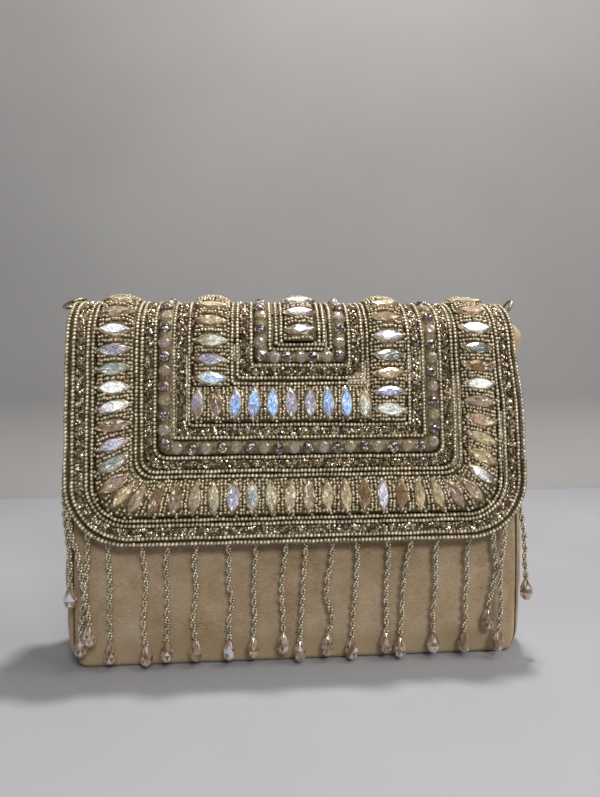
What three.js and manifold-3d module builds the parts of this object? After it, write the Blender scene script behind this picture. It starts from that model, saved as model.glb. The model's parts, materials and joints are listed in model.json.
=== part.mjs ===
import * as THREE from "three";
import { mergeVertices } from "three/addons/utils/BufferGeometryUtils.js";
import Module from "manifold-3d";

const wasm = await Module();
wasm.setup();

// Velvet clutch with a bead-embroidered flap and a fringe of bead strings with crystal drops.
// Millimetres. +Z is up, the front faces -Y, and the base lies on z = 0.

// Body: two swelling panels joined by a padded gusset that runs down the sides and under the base.
const PANEL_WIDTH = 204;
const WALL = 2.5;
const SEAM_GAP = 0.3;
const ARCH_TOP = 162;
const ARCH_RADIUS = 18.5;
const FACE_SWELL = 4.5;
const BELLY_HEIGHT = 60;
const MOUTH_DROP = 15;
const BASE_EDGE_RADIUS = 8;
const LOWER_CORNER_RADIUS = 7;
const GUSSET_BULGE = 7.5;
const GUSSET_TOP_BULGE_SHARE = 0.55;

// Flap: hangs straight down the front from the arch, and ends in a plain tail sewn to the back panel.
const FLAP_OVERHANG = 1.05;
const FLAP_THICKNESS = 3;
const FLAP_EDGE_HEIGHT = 57.6;
const FLAP_CORNER_RADIUS = 26.4;
const FLAP_LIFT = 3.1;
const FLAP_EASE = 0.8;
const FLAP_TAIL = 16;
const BEADING_TAIL = 4;

// Snap between flap and front panel.
const SNAP_DIAMETER = 14;
const SNAP_ABOVE_EDGE = 9;

// Embroidered channels and the stones set on them.
const BEADING_SEAT = 0.45;
const WELT_HEIGHT = 4;
const WELT_EDGE_HEIGHT = 1.2;
const WELT_FLAT_SHARE = 0.56;
const ROUND_ROW_HEIGHT = 2.2;
const ROUND_ROW_EDGE_HEIGHT = 1.1;
const BAND_HEIGHT = 1.9;
const MARQUISE_WIDTH = 7;
const MARQUISE_RISE = 1.8;
const MARQUISE_PITCH = 8.35;
const FIRST_STONE_SHARE = 0.5;
const ROUND_DIAMETER = 6;
const ROUND_RISE = 1.4;
const ROUND_PITCH = 12.9;
const TABLE_SHARE = 0.55;
const LONGEST_STRETCH = 6.95;
const SHORTEST_STRETCH = 0.1;
const BUTT_LAP = 0.6;

// Fringe.
const HEAD_DIAMETER = 1.6;
const HEAD_TAIL = 8;
const HEAD_SIDES = 4;
const STRAND_SIDES = 5;
const STRAND_STEPS = 5;
const STRAND_DIAMETER = 2.1;
const STRAND_REST_GAP = 2.55;
const DROP_LENGTH = 9;
const DROP_DIAMETER = 6;
const DROP_FACETS = 8;

// A drop from its tip up: shares of its radius and of its length.
const DROP_PROFILE = [[0, 0], [0.4, 0], [0.97, 0.28], [0.86, 0.55], [0.22, 1], [0, 1]];

// Side rings in their tabs.
const RING_DIAMETER = 12;
const RING_WIRE = 1.5;
const TAB_HOLE = 2.9;
const TAB_WALL = 0.9;
const TAB_THICKNESS = 2;
const TAB_STEM_WIDTH = 2.6;
const TAB_SINK = 14;

// Facets of the curved forms.
const FACE_STEPS = 7;
const EDGE_STEPS = 4;
const CORNER_STEPS = 5;
const SHARP_RADIUS = 8;
const SHARP_STEPS = 2;
const ARCH_STEPS = 9;
const GUSSET_COLUMNS = 6;
const GUSSET_TOP_DEGREES = [78, 62, 46, 30, 15];
const GUSSET_SIDE_SHARES = [1, 0.55, 0.15];
const SNAP_SIDES = 20;
const EYE_STEPS = 6;
const WIRE_SIDES = 6;
const RING_STEPS = 16;

// The nested U shapes of the embroidery, from the rim inwards. Half widths are shares of half the
// flap's width, foot heights shares of its straight front, radii shares of its corner radius.
const U_ROWS = [
  { name: "bronze_band_1", kind: "band", finish: "bronze",
    inner: 0.929, outer: 0.965, foot_in: 0.072, foot_out: 0.031, radius_in: 0.74, radius_out: 0.86 },
  { name: "outer_marquise_row", kind: "welt", finish: "welt",
    inner: 0.722, outer: 0.883, foot_in: 0.312, foot_out: 0.124, radius_in: 0.31, radius_out: 0.55 },
  { name: "bronze_band_2", kind: "band", finish: "bronze",
    inner: 0.642, outer: 0.675, foot_in: 0.407, foot_out: 0.366, radius_in: 0.2, radius_out: 0.27 },
  { name: "outer_round_row", kind: "rounds", finish: "bead",
    inner: 0.561, outer: 0.62, foot_in: 0.505, foot_out: 0.433, radius_in: 0.06, radius_out: 0.17 },
  { name: "bronze_band_3", kind: "band", finish: "bronze",
    inner: 0.499, outer: 0.539, foot_in: 0.571, foot_out: 0.534, radius_in: 0.05, radius_out: 0.06 },
  { name: "middle_marquise_row", kind: "butted", finish: "welt",
    inner: 0.311, outer: 0.474, foot_in: 0.783, foot_out: 0.597, radius_in: 0.05, radius_out: 0.06 },
  { name: "bronze_band_4", kind: "band", finish: "bronze",
    inner: 0.228, outer: 0.266, foot_in: 0.879, foot_out: 0.839, radius_in: 0.05, radius_out: 0.08 },
  { name: "inner_round_row", kind: "rounds", finish: "bead",
    inner: 0.146, outer: 0.205, foot_in: 0.964, foot_out: 0.905, radius_in: 0.03, radius_out: 0.06 },
];
const CENTRE_ROW = { name: "centre_marquise_row", half: 0.072, foot: 1.017 };

// The fringe, left to right: where a strand leaves the flap's edge, as a share of the way from the
// middle of the lower edge up to the straight side; how much of the height down to the floor it takes
// with its drop; how far it lies over its neighbours; and how far it sways sideways at each fifth of
// its length. The last two are in strand diameters.
const STRANDS = [
  { at: -0.967, reach: 0.665, over: 0, sway: [-0.1, 0.1, 0.67, 1.14, 1.14] },
  { at: -0.855, reach: 0.82, over: 1.15, sway: [0.71, 2.1, 2.86, 3.71, 4.33] },
  { at: -0.746, reach: 0.877, over: 0, sway: [-0.05, -0.38, -0.86, -1.38, -1.81] },
  { at: -0.667, reach: 0.932, over: 0, sway: [0.1, 0.33, 0.1, 0.05, 0] },
  { at: -0.554, reach: 0.96, over: 0, sway: [0.67, 0.86, 0.48, 0.14, 0.62] },
  { at: -0.463, reach: 0.934, over: 0, sway: [-0.57, -0.33, -0.38, -0.38, -0.62] },
  { at: -0.367, reach: 0.935, over: 0, sway: [-0.48, -0.1, -0.43, -0.95, -0.38] },
  { at: -0.257, reach: 0.939, over: 0, sway: [0.14, -0.05, 0.76, 0.05, 0] },
  { at: -0.159, reach: 0.926, over: 0, sway: [-0.38, -0.62, -0.67, -0.43, -0.86] },
  { at: -0.054, reach: 0.901, over: 0, sway: [-0.48, -1, -1.14, -0.81, -0.81] },
  { at: 0.016, reach: 0.971, over: 0, sway: [-0.38, -0.71, -0.95, -1.19, -1.48] },
  { at: 0.108, reach: 0.936, over: 0, sway: [-0.29, -1.19, -1.29, -0.1, -1.1] },
  { at: 0.196, reach: 0.971, over: 0, sway: [0, -0.24, -0.62, -0.95, -1.1] },
  { at: 0.306, reach: 0.928, over: 0, sway: [0.14, -0.24, -0.43, -0.29, -0.29] },
  { at: 0.394, reach: 0.971, over: 0, sway: [-1.19, -1.81, -2.19, -2.24, -2.57] },
  { at: 0.483, reach: 0.945, over: 0, sway: [-0.24, -0.24, -0.33, -0.76, -0.52] },
  { at: 0.601, reach: 0.95, over: 0, sway: [-0.48, -0.33, -0.71, -0.62, -0.76] },
  { at: 0.694, reach: 0.778, over: 0, sway: [0.19, 0.67, 0.43, -0.29, -0.95] },
  { at: 0.751, reach: 0.937, over: 1.15, sway: [-0.95, -1.62, -1.67, -1.48, -1.95] },
  { at: 0.834, reach: 0.627, over: 0, sway: [0.76, 1.19, 1.38, 1.43, 1.71] },
];

// Where each ring's wire passes through its tab: out past the flap's edge, behind the middle, and up
// from the gusset's top, as shares of the ring's diameter. The tab's hole and the ring's wire each
// have a direction there, and the ring reaches away from the tab.
const RINGS = [
  { name: "left", side: -1, out: 0.28, back: 0.4375, up: 0.6333, hole: [1, 0, 0],
    wire: [1, 0, 0.404], reach: [0, -1, 0] },
  { name: "right", side: 1, out: 0.2542, back: 0.4167, up: 0.1667, hole: [0, 1, 0],
    wire: [0, 1, 0], reach: [0.5, 0, 0.866] },
];

const FINISH = {
  velvet: { color: 0xb89a78, roughness: 0.9, metalness: 0 },
  welt: { color: 0xc9b48c, roughness: 0.45, metalness: 0.2 },
  bronze: { color: 0x6d5535, roughness: 0.35, metalness: 0.7 },
  bead: { color: 0xd8cbb0, roughness: 0.3, metalness: 0.3 },
  crystal: { color: 0xead9cc, roughness: 0.08, metalness: 0 },
  gold: { color: 0xb99a5b, roughness: 0.28, metalness: 1 },
};

const flapWidth = PANEL_WIDTH + 2 * FLAP_OVERHANG;

// The body's profile: a long face arc that swells to the belly and runs into the arch at the top,
// and a small arc that turns it under the base.
const archHeight = ARCH_TOP - ARCH_RADIUS;
const bellyDepth = ARCH_RADIUS + FACE_SWELL;
const faceRadius =
  (bellyDepth ** 2 + (archHeight - BELLY_HEIGHT) ** 2 - ARCH_RADIUS ** 2) / (2 * FACE_SWELL);
const faceCentre = bellyDepth - faceRadius;
const edgeFall = (BELLY_HEIGHT - BASE_EDGE_RADIUS) / (faceRadius - BASE_EDGE_RADIUS);
const edgeCentre = faceCentre + (faceRadius - BASE_EDGE_RADIUS) * Math.sqrt(1 - edgeFall ** 2);
const edgeTop = BASE_EDGE_RADIUS * (1 - edgeFall);
const mouthHeight = ARCH_TOP - MOUTH_DROP;

function halfDepth(z, inset = 0) {
  if (z < edgeTop) {
    const r = BASE_EDGE_RADIUS - inset;
    return edgeCentre + Math.sqrt(Math.max(r * r - (z - BASE_EDGE_RADIUS) ** 2, 0));
  }
  return faceCentre + Math.sqrt((faceRadius - inset) ** 2 - (z - BELLY_HEIGHT) ** 2);
}

// The flap's line is tangent to the arch and stands FLAP_LIFT off the panel at its lower edge.
const innerRadius = ARCH_RADIUS + FLAP_EASE;
const outerRadius = innerRadius + FLAP_THICKNESS;
const edgeReach = halfDepth(FLAP_EDGE_HEIGHT) + FLAP_LIFT;
const edgeDistance = Math.hypot(edgeReach, archHeight - FLAP_EDGE_HEIGHT);
const frontLength = Math.sqrt(edgeDistance ** 2 - innerRadius ** 2);
const flapLean =
  Math.acos(innerRadius / edgeDistance) - Math.atan2(archHeight - FLAP_EDGE_HEIGHT, edgeReach);
const archLength = outerRadius * (Math.PI - 2 * flapLean);
const beadingEnd = frontLength + archLength + BEADING_TAIL;

// A point of the flap: u across, v along its outer face from the lower edge over the top and down
// the back, h out from that face.
function flapPoint(u, v, h) {
  const past = v - frontLength;
  const turn = THREE.MathUtils.clamp(past, 0, archLength) / outerRadius + flapLean;
  const straight = past < 0 ? past : Math.max(past - archLength, 0);
  const down = past < 0 ? straight : -straight;
  const r = outerRadius + h;
  return new THREE.Vector3(
    u,
    -r * Math.cos(turn) + straight * Math.sin(flapLean),
    archHeight + r * Math.sin(turn) + down * Math.cos(flapLean),
  );
}

// Rows along the flap where it bends.
const archRows = Array.from({ length: ARCH_STEPS + 1 }, (_, i) =>
  frontLength + (archLength * i) / ARCH_STEPS);

// A closed surface through rings of equally many points, with ends closed by pairing the ring's
// first half with its second.
function loft(rings) {
  const n = rings[0].length;
  const position = rings.flat().flatMap((p) => [p.x, p.y, p.z]);
  const index = [];
  const quad = (a, b, c, d) => index.push(a, b, c, a, c, d);
  for (let k = 0; k + 1 < rings.length; k++) {
    for (let i = 0; i < n; i++) {
      const j = (i + 1) % n;
      quad(k * n + i, k * n + j, (k + 1) * n + j, (k + 1) * n + i);
    }
  }
  const last = (rings.length - 1) * n;
  for (let i = 0; i < n / 2 - 1; i++) {
    quad(n - 1 - i, n - 2 - i, i + 1, i);
    quad(last + i, last + i + 1, last + n - 2 - i, last + n - 1 - i);
  }
  const geometry = new THREE.BufferGeometry();
  geometry.setAttribute("position", new THREE.Float32BufferAttribute(position, 3));
  geometry.setIndex(index);
  if (signedVolume(geometry) < 0) geometry.setIndex(index.reverse());
  return geometry;
}

function signedVolume(geometry) {
  const p = geometry.attributes.position;
  const at = (i) => new THREE.Vector3().fromBufferAttribute(p, geometry.index.getX(i));
  let volume = 0;
  for (let i = 0; i < geometry.index.count; i += 3) {
    volume += at(i).dot(at(i + 1).cross(at(i + 2)));
  }
  return volume;
}

function toSolid(geometry) {
  const bare = geometry.clone();
  bare.deleteAttribute("normal");
  bare.deleteAttribute("uv");
  const merged = mergeVertices(bare, 1e-4);
  return new wasm.Manifold(new wasm.Mesh({
    numProp: 3,
    vertProperties: merged.attributes.position.array,
    triVerts: new Uint32Array(merged.index.array),
  }));
}

function toGeometry(solid) {
  const mesh = solid.getMesh();
  const geometry = new THREE.BufferGeometry();
  geometry.setAttribute("position", new THREE.BufferAttribute(mesh.vertProperties, 3));
  geometry.setIndex(new THREE.BufferAttribute(mesh.triVerts, 1));
  return geometry;
}

function joined(geometries) {
  return toGeometry(geometries.map(toSolid).reduce((a, b) => a.add(b)));
}

const clutch = new THREE.Group();

function addPiece(name, geometry, finish) {
  const piece = new THREE.Mesh(geometry, new THREE.MeshStandardMaterial(FINISH[finish]));
  piece.name = name;
  clutch.add(piece);
  return piece;
}

// Front and back panels: the profile drawn out to the panel's width, with rounded lower corners.
function panelProfile(inset) {
  const points = [];
  for (let i = 0; i <= FACE_STEPS; i++) {
    const z = THREE.MathUtils.lerp(mouthHeight, edgeTop, i / FACE_STEPS);
    points.push(new THREE.Vector2(halfDepth(z, inset), z));
  }
  const start = Math.asin(edgeFall);
  const r = BASE_EDGE_RADIUS - inset;
  for (let i = 1; i <= EDGE_STEPS; i++) {
    const a = THREE.MathUtils.lerp(start, Math.PI / 2, i / EDGE_STEPS);
    points.push(new THREE.Vector2(edgeCentre + r * Math.cos(a), BASE_EDGE_RADIUS - r * Math.sin(a)));
  }
  return points;
}

function panel(side) {
  const section = new THREE.Shape([...panelProfile(0), ...panelProfile(WALL).reverse()]);
  const slab = new THREE.ExtrudeGeometry(section, { depth: PANEL_WIDTH, bevelEnabled: false });
  slab.translate(0, 0, -PANEL_WIDTH / 2);
  slab.applyMatrix4(new THREE.Matrix4().makeBasis(
    new THREE.Vector3(0, side, 0), new THREE.Vector3(0, 0, 1), new THREE.Vector3(side, 0, 0)));
  const half = PANEL_WIDTH / 2;
  const r = LOWER_CORNER_RADIUS;
  const outline = new THREE.Shape();
  outline.moveTo(-half, mouthHeight + WALL);
  outline.lineTo(-half, r);
  outline.absarc(-half + r, r, r, Math.PI, 1.5 * Math.PI, false);
  outline.absarc(half - r, r, r, -Math.PI / 2, 0, false);
  outline.lineTo(half, mouthHeight + WALL);
  const blank = new THREE.ExtrudeGeometry(outline, {
    depth: 4 * bellyDepth, bevelEnabled: false, curveSegments: CORNER_STEPS });
  blank.translate(0, 0, -2 * bellyDepth);
  blank.rotateX(Math.PI / 2);
  return toGeometry(toSolid(slab).intersect(toSolid(blank)));
}

// Gusset: rows down one side, under the base and up the other. Each row has its place in the front
// view, the way out of the bag there, half its depth and how far it bulges.
function gussetRows() {
  const half = PANEL_WIDTH / 2;
  const depthAt = (z) => halfDepth(Math.max(z, WALL), WALL) - SEAM_GAP;
  const topRadius = depthAt(archHeight);
  const rows = [];
  for (const degrees of GUSSET_TOP_DEGREES) {
    const a = THREE.MathUtils.degToRad(degrees);
    rows.push({
      x: half, z: archHeight + topRadius * Math.sin(a), side: 1, out: 1, down: 0,
      depth: topRadius * Math.cos(a),
      bulge: GUSSET_BULGE * THREE.MathUtils.lerp(1, GUSSET_TOP_BULGE_SHARE, Math.sin(a) ** 2),
    });
  }
  for (const share of GUSSET_SIDE_SHARES) {
    const z = THREE.MathUtils.lerp(LOWER_CORNER_RADIUS, archHeight, share);
    rows.push({ x: half, z, side: 1, out: 1, down: 0, depth: depthAt(z), bulge: GUSSET_BULGE });
  }
  const r = LOWER_CORNER_RADIUS;
  const wallTurn = Math.asin((r - WALL) / r);
  const turns = [0, wallTurn / 3, (2 * wallTurn) / 3, wallTurn, (wallTurn + Math.PI / 2) / 2,
    Math.PI / 2];
  for (const a of turns) {
    const z = r - r * Math.sin(a);
    rows.push({ x: half - r + r * Math.cos(a), z, side: 1, out: Math.cos(a), down: Math.sin(a),
      depth: depthAt(z), bulge: GUSSET_BULGE * Math.cos(a) });
  }
  return [...rows, ...rows.map((row) => ({ ...row, x: -row.x, side: -1, out: -row.out })).reverse()];
}

function gusset(grow, thickness) {
  return loft(gussetRows().map((row) => {
    const ring = [];
    for (const offset of [grow, -thickness]) {
      for (let i = 0; i <= GUSSET_COLUMNS; i++) {
        const a = THREE.MathUtils.lerp(-Math.PI / 2, Math.PI / 2, i / GUSSET_COLUMNS);
        const x = row.x + row.side * row.bulge * Math.cos(a) + offset * row.out;
        const y = (row.depth + grow) * Math.sin(a);
        ring.push(new THREE.Vector3(x, offset > -thickness ? y : -y, row.z - offset * row.down));
      }
    }
    return ring;
  }));
}

// Flap: a padded sheet with rounded lower corners.
function flap() {
  const half = flapWidth / 2;
  const r = FLAP_CORNER_RADIUS;
  const rows = [];
  for (let i = 0; i <= CORNER_STEPS; i++) {
    const a = (Math.PI / 2) * (i / CORNER_STEPS);
    rows.push({ half: half - r + r * Math.sin(a), v: r - r * Math.cos(a) });
  }
  for (const v of archRows) rows.push({ half, v });
  rows.push({ half, v: frontLength + archLength + FLAP_TAIL });
  return loft(rows.map((row) => [
    flapPoint(-row.half, row.v, 0),
    flapPoint(row.half, row.v, 0),
    flapPoint(row.half, row.v, -FLAP_THICKNESS),
    flapPoint(-row.half, row.v, -FLAP_THICKNESS),
  ]));
}

// A U on the flap: down the left, round the corners, along the foot and up the right.
function uLine(half, foot, radius, end) {
  const steps = radius > SHARP_RADIUS ? CORNER_STEPS : SHARP_STEPS;
  const right = [];
  for (let i = 0; i <= steps; i++) {
    const a = (Math.PI / 2) * (i / steps);
    right.push({ u: half - radius + radius * Math.sin(a), v: foot + radius - radius * Math.cos(a) });
  }
  if (end > frontLength) {
    for (const v of archRows) right.push({ u: half, v });
  }
  right.push({ u: half, v: end });
  return [...right.map((p) => ({ u: -p.u, v: p.v })).reverse(), ...right];
}

// Where a share of the way across a row lies, from its inner to its outer edge.
function rowLine(row, share) {
  const halfWidth = flapWidth / 2;
  return {
    half: halfWidth * THREE.MathUtils.lerp(row.inner, row.outer, share),
    foot: frontLength * THREE.MathUtils.lerp(row.foot_in, row.foot_out, share),
    radius: FLAP_CORNER_RADIUS * THREE.MathUtils.lerp(row.radius_in, row.radius_out, share),
  };
}

// A point of a U row: a share of the way across it from its inner edge, and s along its middle line
// from the foot's middle, negative to the left.
function rowPoint(row, share, s, height) {
  const middle = rowLine(row, 0.5);
  const line = rowLine(row, share);
  const side = Math.sign(s) || 1;
  const far = Math.abs(s);
  const foot = middle.half - middle.radius;
  const bend = middle.radius * (Math.PI / 2);
  if (far <= foot) {
    return flapPoint(side * (line.half - line.radius) * (far / foot), line.foot, height);
  }
  if (far <= foot + bend) {
    const turn = (far - foot) / middle.radius;
    const u = line.half - line.radius + line.radius * Math.sin(turn);
    return flapPoint(side * u, line.foot + line.radius * (1 - Math.cos(turn)), height);
  }
  const start = line.foot + line.radius;
  const t = (far - foot - bend) / (beadingEnd - middle.foot - middle.radius);
  return flapPoint(side * line.half, THREE.MathUtils.lerp(start, beadingEnd, t), height);
}

function rowReach(row) {
  const middle = rowLine(row, 0.5);
  const leg = beadingEnd - middle.foot - middle.radius;
  return middle.half - middle.radius + middle.radius * (Math.PI / 2) + leg;
}

// A flat band of crushed beads.
function bandRow(row) {
  const corners = [[0, BEADING_SEAT], [0, BAND_HEIGHT], [1, BAND_HEIGHT], [1, BEADING_SEAT]];
  const rails = corners.map(([share, height]) => {
    const line = rowLine(row, share);
    return uLine(line.half, line.foot, line.radius, beadingEnd).map((p) => flapPoint(p.u, p.v, height));
  });
  return loft(rails[0].map((_, k) => rails.map((rail) => rail[k])));
}

// A padded channel with stones set along it. Each stone has a table and eight facets: two long ones,
// two at its ends and four at its corners. pointAt gives the place at a share across, a distance
// along and a height.
function stoneStrip(pointAt, from, to, stones, form) {
  const slope = (1 - form.flat) / 2;
  const ring = (s, top) => [
    [0, BEADING_SEAT], [0, form.low], [slope, top], [1 - slope, top], [1, form.low], [1, BEADING_SEAT],
  ].map(([share, height]) => pointAt(share, s, height));
  const rings = [];
  let last = from;
  const channelTo = (s) => {
    const count = Math.ceil((s - last) / LONGEST_STRETCH);
    for (let i = 1; i <= count; i++) {
      rings.push(ring(THREE.MathUtils.lerp(last, s, i / count), form.high));
    }
    last = s;
  };
  rings.push(ring(from, form.high));
  for (const s of stones) {
    if (s - form.girdle - last > SHORTEST_STRETCH) channelTo(s - form.girdle);
    rings.push(ring(s - form.table, form.high + form.rise));
    rings.push(ring(s + form.table, form.high + form.rise));
    last = Math.min(s + form.girdle, to);
    rings.push(ring(last, form.high));
  }
  if (to - last > SHORTEST_STRETCH) channelTo(to);
  return loft(rings);
}

const marquiseForm = {
  low: WELT_EDGE_HEIGHT, high: WELT_HEIGHT, rise: MARQUISE_RISE, flat: WELT_FLAT_SHARE,
  table: (MARQUISE_WIDTH / 2) * TABLE_SHARE, girdle: MARQUISE_PITCH / 2,
  pitch: MARQUISE_PITCH,
};
const roundForm = {
  low: ROUND_ROW_EDGE_HEIGHT, high: ROUND_ROW_HEIGHT, rise: ROUND_RISE, flat: WELT_FLAT_SHARE,
  table: (ROUND_DIAMETER / 2) * TABLE_SHARE, girdle: ROUND_DIAMETER / 2,
  pitch: ROUND_PITCH,
};

// Stones at a pitch between two ends: the first a lead beyond the start, the last at least half a
// pitch before the end.
function pitched(from, to, pitch, lead) {
  const places = [];
  for (let s = from + lead; s <= to - pitch / 2; s += pitch) places.push(s);
  return places;
}

// The stone nearest the foot's middle stands off it by a share of the pitch.
function uStoneRow(row, form, offset) {
  const reach = rowReach(row);
  const pointAt = (share, s, height) => rowPoint(row, share, s, height);
  const before = Math.floor(reach / form.pitch + offset - 0.5);
  const lead = reach - (before - offset) * form.pitch;
  return stoneStrip(pointAt, -reach, reach, pitched(-reach, reach, form.pitch, lead), form);
}

// The middle row's channels butt at the corners: the left leg stands on the foot's channel, and the
// right leg runs down to the foot's lower edge.
function buttedRow(row) {
  const inner = rowLine(row, 0);
  const outer = rowLine(row, 1);
  const leg = (side) => (share, s, height) =>
    flapPoint(side * THREE.MathUtils.lerp(inner.half, outer.half, share), s, height);
  const foot = (share, s, height) =>
    flapPoint(s, THREE.MathUtils.lerp(inner.foot, outer.foot, share), height);
  const strip = (pointAt, from, to) =>
    stoneStrip(pointAt, from, to,
      pitched(from, to, MARQUISE_PITCH, MARQUISE_PITCH * FIRST_STONE_SHARE), marquiseForm);
  return joined([
    strip(leg(-1), inner.foot - BUTT_LAP, beadingEnd),
    strip(leg(1), outer.foot, beadingEnd),
    strip(foot, -outer.half, inner.half + BUTT_LAP),
  ]);
}

// Straight channel down the middle of the flap's top.
function centreRow() {
  const half = (flapWidth / 2) * CENTRE_ROW.half;
  const foot = frontLength * CENTRE_ROW.foot;
  const pointAt = (share, s, height) => flapPoint(half * (2 * share - 1), s, height);
  return stoneStrip(pointAt, foot, beadingEnd,
    pitched(foot, beadingEnd, MARQUISE_PITCH, MARQUISE_PITCH * FIRST_STONE_SHARE), marquiseForm);
}

// Fringe: a head cord round the flap's lower edge, and the strands that hang from it.
const headOutside = SEAM_GAP + HEAD_DIAMETER / 2;
const strandOutside = SEAM_GAP + STRAND_DIAMETER / 2;
const headHeight = -FLAP_THICKNESS / 2;
const headEnd = FLAP_CORNER_RADIUS + HEAD_TAIL;

// A line round the flap's lower edge, outside it.
function rimLine(outside) {
  return uLine(flapWidth / 2 + outside, -outside, FLAP_CORNER_RADIUS + outside, headEnd);
}

function fringeHead() {
  const rails = Array.from({ length: HEAD_SIDES }, (_, i) => {
    const a = (2 * Math.PI * i) / HEAD_SIDES;
    const shift = (HEAD_DIAMETER / 2) * Math.cos(a);
    const lift = (HEAD_DIAMETER / 2) * Math.sin(a);
    return rimLine(headOutside + shift).map((p) => flapPoint(p.u, p.v, headHeight + lift));
  });
  return loft(rails[0].map((_, k) => rails.map((rail) => rail[k])));
}

function strandPath(strand) {
  const line = rimLine(strandOutside);
  const path = new THREE.CurvePath();
  for (let i = 0; i + 1 < line.length; i++) {
    path.add(new THREE.LineCurve(
      new THREE.Vector2(line[i].u, line[i].v), new THREE.Vector2(line[i + 1].u, line[i + 1].v)));
  }
  const p = path.getPointAt(0.5 + strand.at / 2);
  const top = flapPoint(p.x, p.y, headHeight);
  const end = top.z * (1 - strand.reach) + DROP_LENGTH + SEAM_GAP;
  const rest = STRAND_REST_GAP + STRAND_DIAMETER / 2;
  const points = [top];
  const over = strand.over * STRAND_DIAMETER;
  strand.sway.forEach((sway, i) => {
    const share = (i + 1) / strand.sway.length;
    const z = THREE.MathUtils.lerp(top.z, end, share);
    const hang = THREE.MathUtils.lerp(top.y, -halfDepth(z) - rest, share);
    points.push(new THREE.Vector3(top.x + sway * STRAND_DIAMETER, hang - over, z));
  });
  return new THREE.CatmullRomCurve3(points);
}

function strandTube(path) {
  const r = STRAND_DIAMETER / 2;
  const section = new THREE.Shape(Array.from({ length: STRAND_SIDES }, (_, i) => {
    const a = (2 * Math.PI * i) / STRAND_SIDES;
    return new THREE.Vector2(r * Math.cos(a), r * Math.sin(a));
  }));
  return new THREE.ExtrudeGeometry(section, {
    steps: STRAND_STEPS, extrudePath: path, bevelEnabled: false });
}

function dropGeometry() {
  const r = DROP_DIAMETER / 2;
  const l = DROP_LENGTH;
  const profile = DROP_PROFILE.map(([across, up]) => new THREE.Vector2(r * across, l * up));
  return new THREE.LatheGeometry(profile, DROP_FACETS).rotateX(Math.PI / 2);
}

// Snap: a disc whose two faces follow the panel and the flap.
function snap() {
  const height = FLAP_EDGE_HEIGHT + SNAP_ABOVE_EDGE;
  const disc = new THREE.CylinderGeometry(
    SNAP_DIAMETER / 2, SNAP_DIAMETER / 2, 1, SNAP_SIDES);
  const p = disc.attributes.position;
  for (let i = 0; i < p.count; i++) {
    const z = height + p.getZ(i);
    const onFlap = flapPoint(0, frontLength, -FLAP_THICKNESS);
    const flapY = onFlap.y - (onFlap.z - z) * Math.tan(flapLean);
    const y = p.getY(i) > 0 ? -halfDepth(z) - SEAM_GAP : flapY + SEAM_GAP / Math.cos(flapLean);
    p.setXYZ(i, p.getX(i), y, z);
  }
  return toGeometry(toSolid(disc));
}

// Ring tab: an eye round the ring's wire on a stem that is seated on the gusset.
function tab(eye, hole) {
  const eyeRadius = TAB_HOLE / 2 + TAB_WALL;
  const shape = new THREE.Shape();
  const spread = Math.asin(TAB_STEM_WIDTH / 2 / eyeRadius);
  shape.absarc(0, 0, eyeRadius, -Math.PI / 2 + spread, 1.5 * Math.PI - spread, false);
  shape.lineTo(-TAB_STEM_WIDTH / 2, -TAB_SINK);
  shape.lineTo(TAB_STEM_WIDTH / 2, -TAB_SINK);
  shape.closePath();
  const round = new THREE.Path();
  round.absarc(0, 0, TAB_HOLE / 2, 0, 2 * Math.PI, true);
  shape.holes.push(round);
  const flat = new THREE.ExtrudeGeometry(shape, {
    depth: TAB_THICKNESS, bevelEnabled: false, curveSegments: EYE_STEPS });
  flat.translate(0, 0, -TAB_THICKNESS / 2);
  const up = new THREE.Vector3(0, 0, 1);
  const along = new THREE.Vector3().crossVectors(up, hole);
  flat.applyMatrix4(new THREE.Matrix4().makeBasis(along, up, hole));
  flat.translate(eye.x, eye.y, eye.z);
  const seat = toSolid(gusset(SEAM_GAP, GUSSET_BULGE + TAB_SINK));
  return toGeometry(toSolid(flat).subtract(seat));
}

function ring(name, eye, wire, reach) {
  const radius = (RING_DIAMETER - RING_WIRE) / 2;
  const torus = new THREE.TorusGeometry(radius, RING_WIRE / 2, WIRE_SIDES, RING_STEPS);
  torus.translate(0, radius, 0);
  const piece = addPiece(name, torus, "gold");
  piece.quaternion.setFromRotationMatrix(new THREE.Matrix4().makeBasis(
    wire, reach, new THREE.Vector3().crossVectors(wire, reach)));
  piece.position.copy(eye);
}

addPiece("front_panel", panel(-1), "velvet");
addPiece("back_panel", panel(1), "velvet");
addPiece("gusset", gusset(0, WALL), "velvet");
addPiece("flap", flap(), "velvet");
addPiece("magnetic_snap", snap(), "gold");

const BUILD = {
  band: (row) => bandRow(row),
  welt: (row) => uStoneRow(row, marquiseForm, 0.33),
  butted: (row) => buttedRow(row),
  rounds: (row) => uStoneRow(row, roundForm, 0.23),
};
for (const row of U_ROWS) addPiece(row.name, BUILD[row.kind](row), row.finish);
addPiece("centre_marquise_row", centreRow(), "welt");

const paths = STRANDS.map(strandPath);
addPiece("fringe", joined([fringeHead(), ...paths.map(strandTube)]), "bead");
paths.forEach((path, i) => {
  const end = path.getPoint(1);
  const drop = addPiece(`drop_${String(i + 1).padStart(2, "0")}`, dropGeometry(), "crystal");
  drop.position.set(end.x, end.y, end.z - SEAM_GAP - DROP_LENGTH);
});

for (const place of RINGS) {
  const gussetTop = archHeight + halfDepth(archHeight, WALL) - SEAM_GAP;
  const eye = new THREE.Vector3(
    place.side * (flapWidth / 2 + place.out * RING_DIAMETER),
    place.back * RING_DIAMETER,
    gussetTop + place.up * RING_DIAMETER);
  addPiece(`ring_tab_${place.name}`, tab(eye, new THREE.Vector3(...place.hole)), "velvet");
  const wire = new THREE.Vector3(...place.wire).normalize();
  ring(`ring_${place.name}`, eye, wire, new THREE.Vector3(...place.reach).normalize());
}

export default clutch;
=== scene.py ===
import json
import math
import random

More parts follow.
